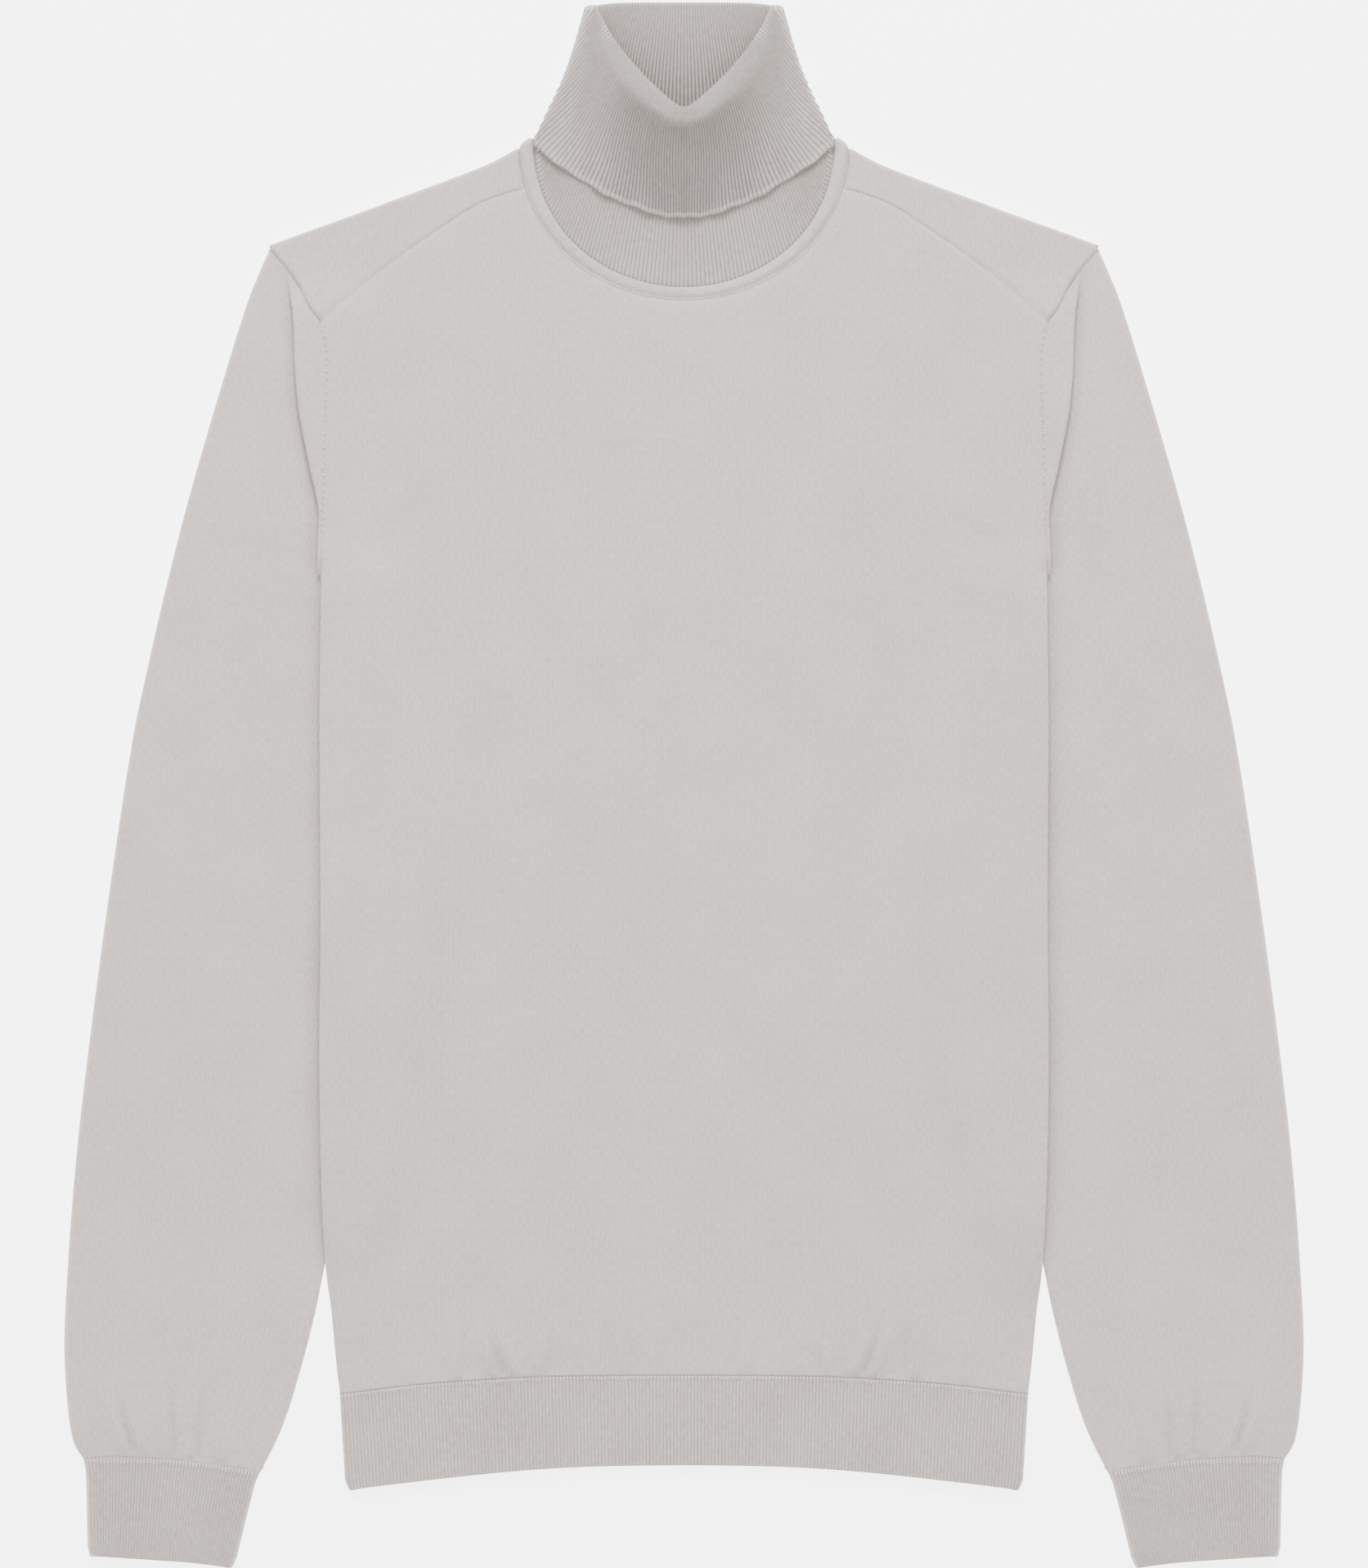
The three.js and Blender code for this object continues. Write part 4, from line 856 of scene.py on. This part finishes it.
# The band's section: the way in from the seam, and the height over the panel's level. It comes up from under
# the panel's edge, and goes down again under the collar's.
TRIM_SECTION = [
    (-0.0026, -0.00105), (-0.0008, -0.00100), (-0.0001, -0.0006), (0.0004, -0.0001),
    (0.0010, 0.0003), (0.0018, 0.00052), (0.0027, 0.0006), (0.0036, 0.00052), (0.0044, 0.0003),
    (0.0050, -0.0001), (0.0053, -0.0004),
]
shares, back_shares = np.linspace(0, 1, 130), np.linspace(0, 1, 60)
trim_rows = []
for inward, lift in TRIM_SECTION:
    front_line, back_line, high, low = neckline(inward, JERSEY)
    heights = (lambda s: high + lift, lambda s: low + max(-lift, 0) + 0 * s)
    trim_rows.append(neck_loop(front_line, back_line, *heights, 0.6, shares, 10, back_shares))
trim_rows = np.stack(trim_rows)
length = np.cumsum(np.linalg.norm(np.diff(trim_rows, axis=1, prepend=trim_rows[:, :1]), axis=-1), axis=1)
trim_flat = np.stack([np.array(TRIM_SECTION)[:, :1] + 0 * length, length], -1)
trim = cloth("neck_linking_band", [(trim_rows, trim_flat)], SHELL, jersey)
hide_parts("neck_trim")
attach(trim, "root")

# Collar
# One tube of 1x1 rib. It stands up from the neckline, rolls over at the mouth and comes down outside as a
# turnover, whose ribs spread towards its lower edge.
MOUTH_Y = 0.3441
MOUTH_POINT = 0.0036
MOUTH_SLOPE = 0.92
MOUTH_FLARE = 120
MOUTH_STEEP = 0.0040
MOUTH_HALF = 0.0445
RIB_EVEN = 0.0085
COLLAR_TOP = 0.402
STAND_MIDDLE = 0.011
STAND_SIDE = 0.0065
SIDE_SWELL = 0.0013
ROLL_FRONT = 0.0032
ROLL_SIDE = 0.0018
ROLL_REACH = [(0, 0.0044), (0.2, 0.0056), (0.5, 0.0072), (0.75, 0.0060), (1, 0.0022)]
ROLL_BACK = 0.0012
TURNOVER_HALF = 0.0762
TURNOVER_Y = 0.2915
TURNOVER_RISE = 0.0380
TURNOVER_BACK_Y = 0.346
TURNOVER_LEVEL = 0.0094
TURNOVER_SIDE_LEVEL = 0.0073
CREST = 0.0014
CREST_AT = 0.05
FALL = 0.70
EDGE_BEAD = 0.0005
FAN = 0.022
WAVE = 0.0006
SIDE_REACH = 0.55
FANNED_RIBS = 14
# The lower edge rolls in on itself: how far it reaches, and how deep it lies
EDGE_ROLL = [(0.0005, 0.0001), (0.0008, 0.0005), (0.0006, 0.0010), (-0.0001, 0.0013)]
COLLAR_RIBS = 54
COLLAR_TURN_RIBS = 6
COLLAR_BACK_RIBS = 32


def mouth_at(half):
    """The mouth's edge at a half width, and the way that the roll faces there. The edge is a hyperbola with a
    soft point, and a cube and an eighth power of the width make its arms steeper towards their ends."""
    lean = np.hypot(MOUTH_POINT, MOUTH_SLOPE * half)
    share = half / MOUTH_HALF
    slope = MOUTH_SLOPE**2 * half / lean + 3 * MOUTH_FLARE * half**2 + 8 * MOUTH_STEEP * share**7 / MOUTH_HALF
    facing = np.stack([-slope, np.ones_like(slope)], -1)
    facing /= np.linalg.norm(facing, axis=-1, keepdims=True)
    facing = mix(facing, np.array([-0.3, 0.95]), ramp(0.75, 1, share)[..., None])
    facing /= np.linalg.norm(facing, axis=-1, keepdims=True)
    return np.stack([half, MOUTH_Y + lean + MOUTH_FLARE * half**3 + MOUTH_STEEP * share**8], -1), facing


mouth_halves = np.linspace(0, MOUTH_HALF, 400)
mouth_line = mouth_at(mouth_halves)[0] - mouth_at(mouth_halves)[1] * RIB_EVEN
mouth_lengths = np.append(0, np.cumsum(np.hypot(*np.diff(mouth_line, axis=0).T)))
mouth_lengths /= mouth_lengths[-1]


def mouth_edge(s):
    """The mouth's edge and the way that the roll faces, by share of the roll's length from the middle."""
    return mouth_at(np.interp(s, mouth_lengths, mouth_halves))


def roll_rise(s):
    """Half the roll's height, from the front to the side."""
    return mix(ROLL_FRONT, ROLL_SIDE, ramp(0, 1, s))


def roll_reach(s):
    """How far the roll stands out past its centre line: a smooth curve through the table, by share."""
    table = route(ROLL_REACH)(np.linspace(0, 1, 200))
    return np.interp(s, table[:, 0], table[:, 1])


def roll_line(s):
    """The roll's centre line in front: the mouth's edge moved back by the roll's reach."""
    edge, facing = mouth_edge(s)
    return edge - facing * (roll_reach(s) + RIB / 2)[..., None]


def top_line(s):
    """The roll's centre line behind: straight, with its ends drawn down."""
    return np.stack([MOUTH_HALF * s, COLLAR_TOP - ROLL_BACK - RIB / 2 - 0.0016 * s**6], -1)


def shifted(line, other, t, amount):
    """The way a share t from one plan line to another, moved out by amount towards its end."""

    def moved(s):
        s = np.asarray(s)
        return mix(line(s), other(s), t) + np.stack([amount * s**4, 0 * s], -1)

    return moved


def stand_row(t, under=0, drop=0):
    """The stand at a share t of its way from the neckline to the roll. Its first rows reach under the band
    and lie a drop lower."""
    front_start, back_start, high, low = neckline(3.6 * GAP + TRIM_WIDTH - under, RIB)
    pinch = -0.0054 * np.sin(np.pi * t**0.55) - 0.0016 * (1 - t)

    def front_z(s):
        swell = SIDE_SWELL * s * s
        rolled = mix(STAND_MIDDLE, STAND_SIDE, s * s)
        return mix(high + swell, rolled, t) - swell * (1 - ramp(0, 0.14, t)) - drop

    def back_z(s):
        return mix(RIB / 2, RIB / 2 + 2 * ROLL_BACK, ramp(0, mix(0.22, 0.13, s * s), t)) + drop

    bulge = mix(0.6, 0.1, ramp(0, 0.4, t))
    front_plan_line = shifted(front_start, roll_line, t, pinch)
    return front_plan_line, shifted(back_start, top_line, t, pinch), front_z, back_z, bulge


def turnover_row(t):
    """The turnover at a share t of its way from the roll down to its lower edge."""

    def level(s):
        aside = np.sin(s * np.pi / 2) ** 2
        top = mix(STAND_MIDDLE, STAND_SIDE, aside) + 2 * roll_rise(s)
        swell = CREST * (1 - aside) * t / CREST_AT * np.exp(1 - t / CREST_AT)
        curl = WAVE * np.sin(23 * s + 1) * ramp(0.7, 1, t)
        bead = EDGE_BEAD * ramp(0.965, 0.99, t)
        lower = mix(TURNOVER_LEVEL, TURNOVER_SIDE_LEVEL, aside)
        return mix(top, lower, t**FALL) + swell + curl + bead

    def edge_front(s):
        half = TURNOVER_HALF * mix(s, s * s, 0.12)
        ripple = WAVE * (np.sin(19 * s + 1) + np.sin(41 * s)) / 2
        return np.stack([half, TURNOVER_Y + TURNOVER_RISE * (half / 0.0771) ** 1.7 + ripple], -1)

    def edge_back(s):
        return np.stack([0.064 * s, mix(TURNOVER_BACK_Y, 0.352, s * s) + 0 * s], -1)

    radius = (level(1.0) - RIB / 2) / 2
    side_y = top_line(np.ones(1))[0, 1]

    def pull(end):
        drop = side_y - end[1]
        outline = 0.0513 + 0.27 * drop + 30.6 * drop**3 - RIB / 2 - mix(1, SIDE_REACH, t) * radius
        return mix(outline, end[0], t**4) - end[0]

    one = np.ones(1)
    front_end = mix(roll_line(one), edge_front(one), t)[0]
    back_end = mix(top_line(one), edge_back(one), t)[0]
    fan = FAN * t * (1 - t) ** 2

    def front_line(s):
        s = np.asarray(s)
        spread_out = mouth_edge(s)[1] * (fan * (1 - s**6))[..., None]
        return shifted(roll_line, edge_front, t, pull(front_end))(s) - spread_out

    back_line = shifted(top_line, edge_back, t, pull(back_end))
    return front_line, back_line, level, lambda s: RIB / 2 + 0 * s, 0.0


def fanned(loop, t):
    """A row of the turnover with its ribs moved on round the side, as a sine squared of the way from the
    middle of the front to the middle of the back: up to FANNED_RIBS ribs at the lower edge."""
    half = len(loop) // 2
    at = np.arange(half + 1)
    moved = at + 4 * FANNED_RIBS * t * np.sin(np.pi * at / half) ** 2
    right = np.stack([np.interp(moved, at, loop[: half + 1, k]) for k in range(3)], -1)
    return np.concatenate([right, right[-2:0:-1] * (-1, 1, 1), right[:1]])


shares = np.linspace(0, 1, 4 * COLLAR_RIBS + 1)
back_shares = np.linspace(0, 1, 4 * COLLAR_BACK_RIBS + 1)
TURN_COUNT = 4 * COLLAR_TURN_RIBS
stand_steps = [0, 0.01, 0.03, 0.06, 0.1, 0.15, 0.2, 0.26, 0.33, 0.41, 0.5, 0.6, 0.7, 0.8, 0.9, 1]
stand_starts = [(0, 0.0026, 0.0010), (0, 0.0010, 0.0009), (0, 0.0004, 0.0005)] + [(t,) for t in stand_steps]
stand_rows = [neck_loop(*stand_row(*start), shares, TURN_COUNT, back_shares) for start in stand_starts]
turnover_steps = [0, 0.02, 0.04, 0.06, 0.09, 0.13, 0.18, 0.25, 0.33, 0.42, 0.52, 0.63, 0.74, 0.84, 0.92]
turnover_steps += [0.96, 0.97, 0.98, 0.99, 1]
turnover_rows = []
for t in turnover_steps:
    row = neck_loop(*turnover_row(t), shares, TURN_COUNT, back_shares, mix(1, SIDE_REACH, t))
    turnover_rows.append(fanned(row, t))
last_front, last_back = turnover_rows[-1], turnover_rows[-2]
hem_way = last_front - last_back
hem_way /= np.linalg.norm(hem_way, axis=-1, keepdims=True)
above = np.where(last_front[:, 2:] > TURNOVER_SIDE_LEVEL / 2, 1, -1)
turnover_rows += [last_front + hem_way * reach - (0, 0, 1) * above * drop for reach, drop in EDGE_ROLL]
last, first = stand_rows[-1], turnover_rows[0]
column = np.minimum(np.arange(len(last)), len(last) - 1 - np.arange(len(last)))
toward_back = ramp(len(shares) - 1, len(shares) + TURN_COUNT, column)[:, None]
roll_shares = np.clip(column / (len(shares) - 1), 0, 1)
facing = mix(mouth_edge(roll_shares)[1], np.array([0.0, 1.0]), toward_back)
facing /= np.linalg.norm(facing, axis=-1, keepdims=True)
facing[:, 0] *= np.where(np.arange(len(last)) > len(last) / 2, -1, 1)
ahead = np.concatenate([facing, np.zeros((len(last), 1))], 1)
reach = mix(roll_reach(roll_shares)[:, None], ROLL_BACK, toward_back)
angles = np.linspace(0, np.pi, 12)[1:-1]
roll_rows = [(last + first) / 2 - (first - last) / 2 * np.cos(a) + ahead * reach * np.sin(a) for a in angles]
rows = np.stack(stand_rows + roll_rows + turnover_rows)
half_phase = np.concatenate(
    [
        shares * COLLAR_RIBS,
        COLLAR_RIBS + np.linspace(0, COLLAR_TURN_RIBS, TURN_COUNT + 2)[1:-1],
        COLLAR_RIBS + COLLAR_TURN_RIBS + (1 - back_shares[::-1]) * COLLAR_BACK_RIBS,
    ]
)
phase = np.concatenate([half_phase, 2 * half_phase[-1] - half_phase[-2::-1]])
spread = np.concatenate([rows[:, -2:-1], rows, rows[:, 1:2]], 1)
spread_phase = np.concatenate([phase[-2:-1], phase, phase[1:2]])
# The stand in front shows the tube's outer face, and all the rest its inner face, which has its grooves where
# the outer face has its ridges
row_share = np.concatenate([np.zeros(3), stand_steps, np.ones(len(rows) - 3 - len(stand_steps))])
inner_face = 0.5 * np.maximum(ramp(0.35, 0.8, row_share)[:, None], np.append(toward_back, 0)[None, :-1])
spread_face = np.concatenate([inner_face[:, -2:-1], inner_face, inner_face[:, 1:2]], 1)
ribs = ribbed(spread, spread_phase + spread_face, RIB_HEIGHT)[:, 1:-1]
ribs[:, -1] = ribs[:, 0]
length = np.cumsum(np.linalg.norm(np.diff(rows, axis=0, prepend=rows[:1]), axis=-1), axis=0)
collar_flat = np.stack([phase * RIB_PITCH + 0 * length, length], -1)
# The attribute "closed" is partly the rib, which opens where it is stretched over the sides and the roll and
# at the turnover's edge, and closes where it lies loose, and partly painted shade: the middle of the turnover
# and the back layer down inside the neck are darker, as where shade falls
at_roll = len(stand_rows) + len(roll_rows) / 2
index = np.arange(len(rows))
opened = 1 - ramp(at_roll + 10, at_roll + 5, index) * ramp(at_roll - 8, at_roll - 4, index)
opened *= 1 - ramp(len(rows) - 8, len(rows) - 5, index)
# Painted shade, partly a loose rib: the back layer is darker low down inside the neck and lighter towards its
# top
slack_and_neck_shade = mix(1.0, 0.2, ramp(0.45, 0.95, row_share))[:, None]
in_back = np.append(toward_back, 0)[None, :-1]
# Painted shade, partly closed ribs: darker across the middle of the turnover and roll, lighter towards their
# sides where the ribs fan open
in_front = (1 - 0.9 * ramp(0.30, 0.80, np.append(roll_shares, 0)[None, :-1])) * (row_share == 1)[:, None]
closed = mix(in_front, slack_and_neck_shade, in_back) * opened[:, None]
collar = cloth("collar_rib", [(ribs, collar_flat)], RIB_SHELL, rib, closed)
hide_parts("collar")
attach(collar, "root")

# Studio
# A white table, a soft light from the neck's side of the picture and pale walls, seen from straight above.
CAMERA_HEIGHT = 6
PIXEL = 0.00042
IMAGE_HEIGHT = 1918
TABLE_HALF = 4
TABLE_LEVEL = -0.0001
table = bpy.data.meshes.new("table")
corners = [(x * TABLE_HALF, y * TABLE_HALF, TABLE_LEVEL) for x, y in ((-1, -1), (1, -1), (1, 1), (-1, 1))]
table.from_pydata(corners, [], [(0, 1, 2, 3)])
table = placed("table", table)
paper, tree = emptied("matt white paper")
white = {
    "Base Color": linear("FAFAFA"),
    "Roughness": 0.9,
    "Emission Color": (1, 1, 1, 1),
    "Emission Strength": 4.0,
}
white = add(tree, "ShaderNodeBsdfPrincipled", white).outputs[0]
add(tree, "ShaderNodeOutputMaterial", {"Surface": white})
table.data.materials.append(paper)

for name, place, size, power in (
    ("soft_key", (0.0, 2.7, 2.0), 1.2, 140),
    ("soft_side_left", (-3.0, 0.2, 1.3), 1.2, 22),
    ("soft_side_right", (3.0, 0.2, 1.3), 1.2, 22),
):
    lamp = bpy.data.lights.new(name, "AREA")
    lamp.shape = "SQUARE"
    lamp.size = size
    lamp.energy = power
    lamp = placed(name, lamp)
    lamp.location = place
    lamp.rotation_mode = "QUATERNION"
    lamp.rotation_quaternion = (-lamp.location).to_track_quat("-Z", "Y")

world = bpy.data.worlds.new("pale walls")
world.use_nodes = True
world.node_tree.nodes["Background"].inputs["Color"].default_value = (1, 1, 1, 1)
world.node_tree.nodes["Background"].inputs["Strength"].default_value = 1.28
bpy.context.scene.world = world

camera = bpy.data.cameras.new("camera")
camera.sensor_width = 36
camera.lens = camera.sensor_width * CAMERA_HEIGHT / (IMAGE_HEIGHT * PIXEL)
camera = placed("camera", camera)
camera.location = (0, PIXEL, CAMERA_HEIGHT)
bpy.context.scene.camera = camera
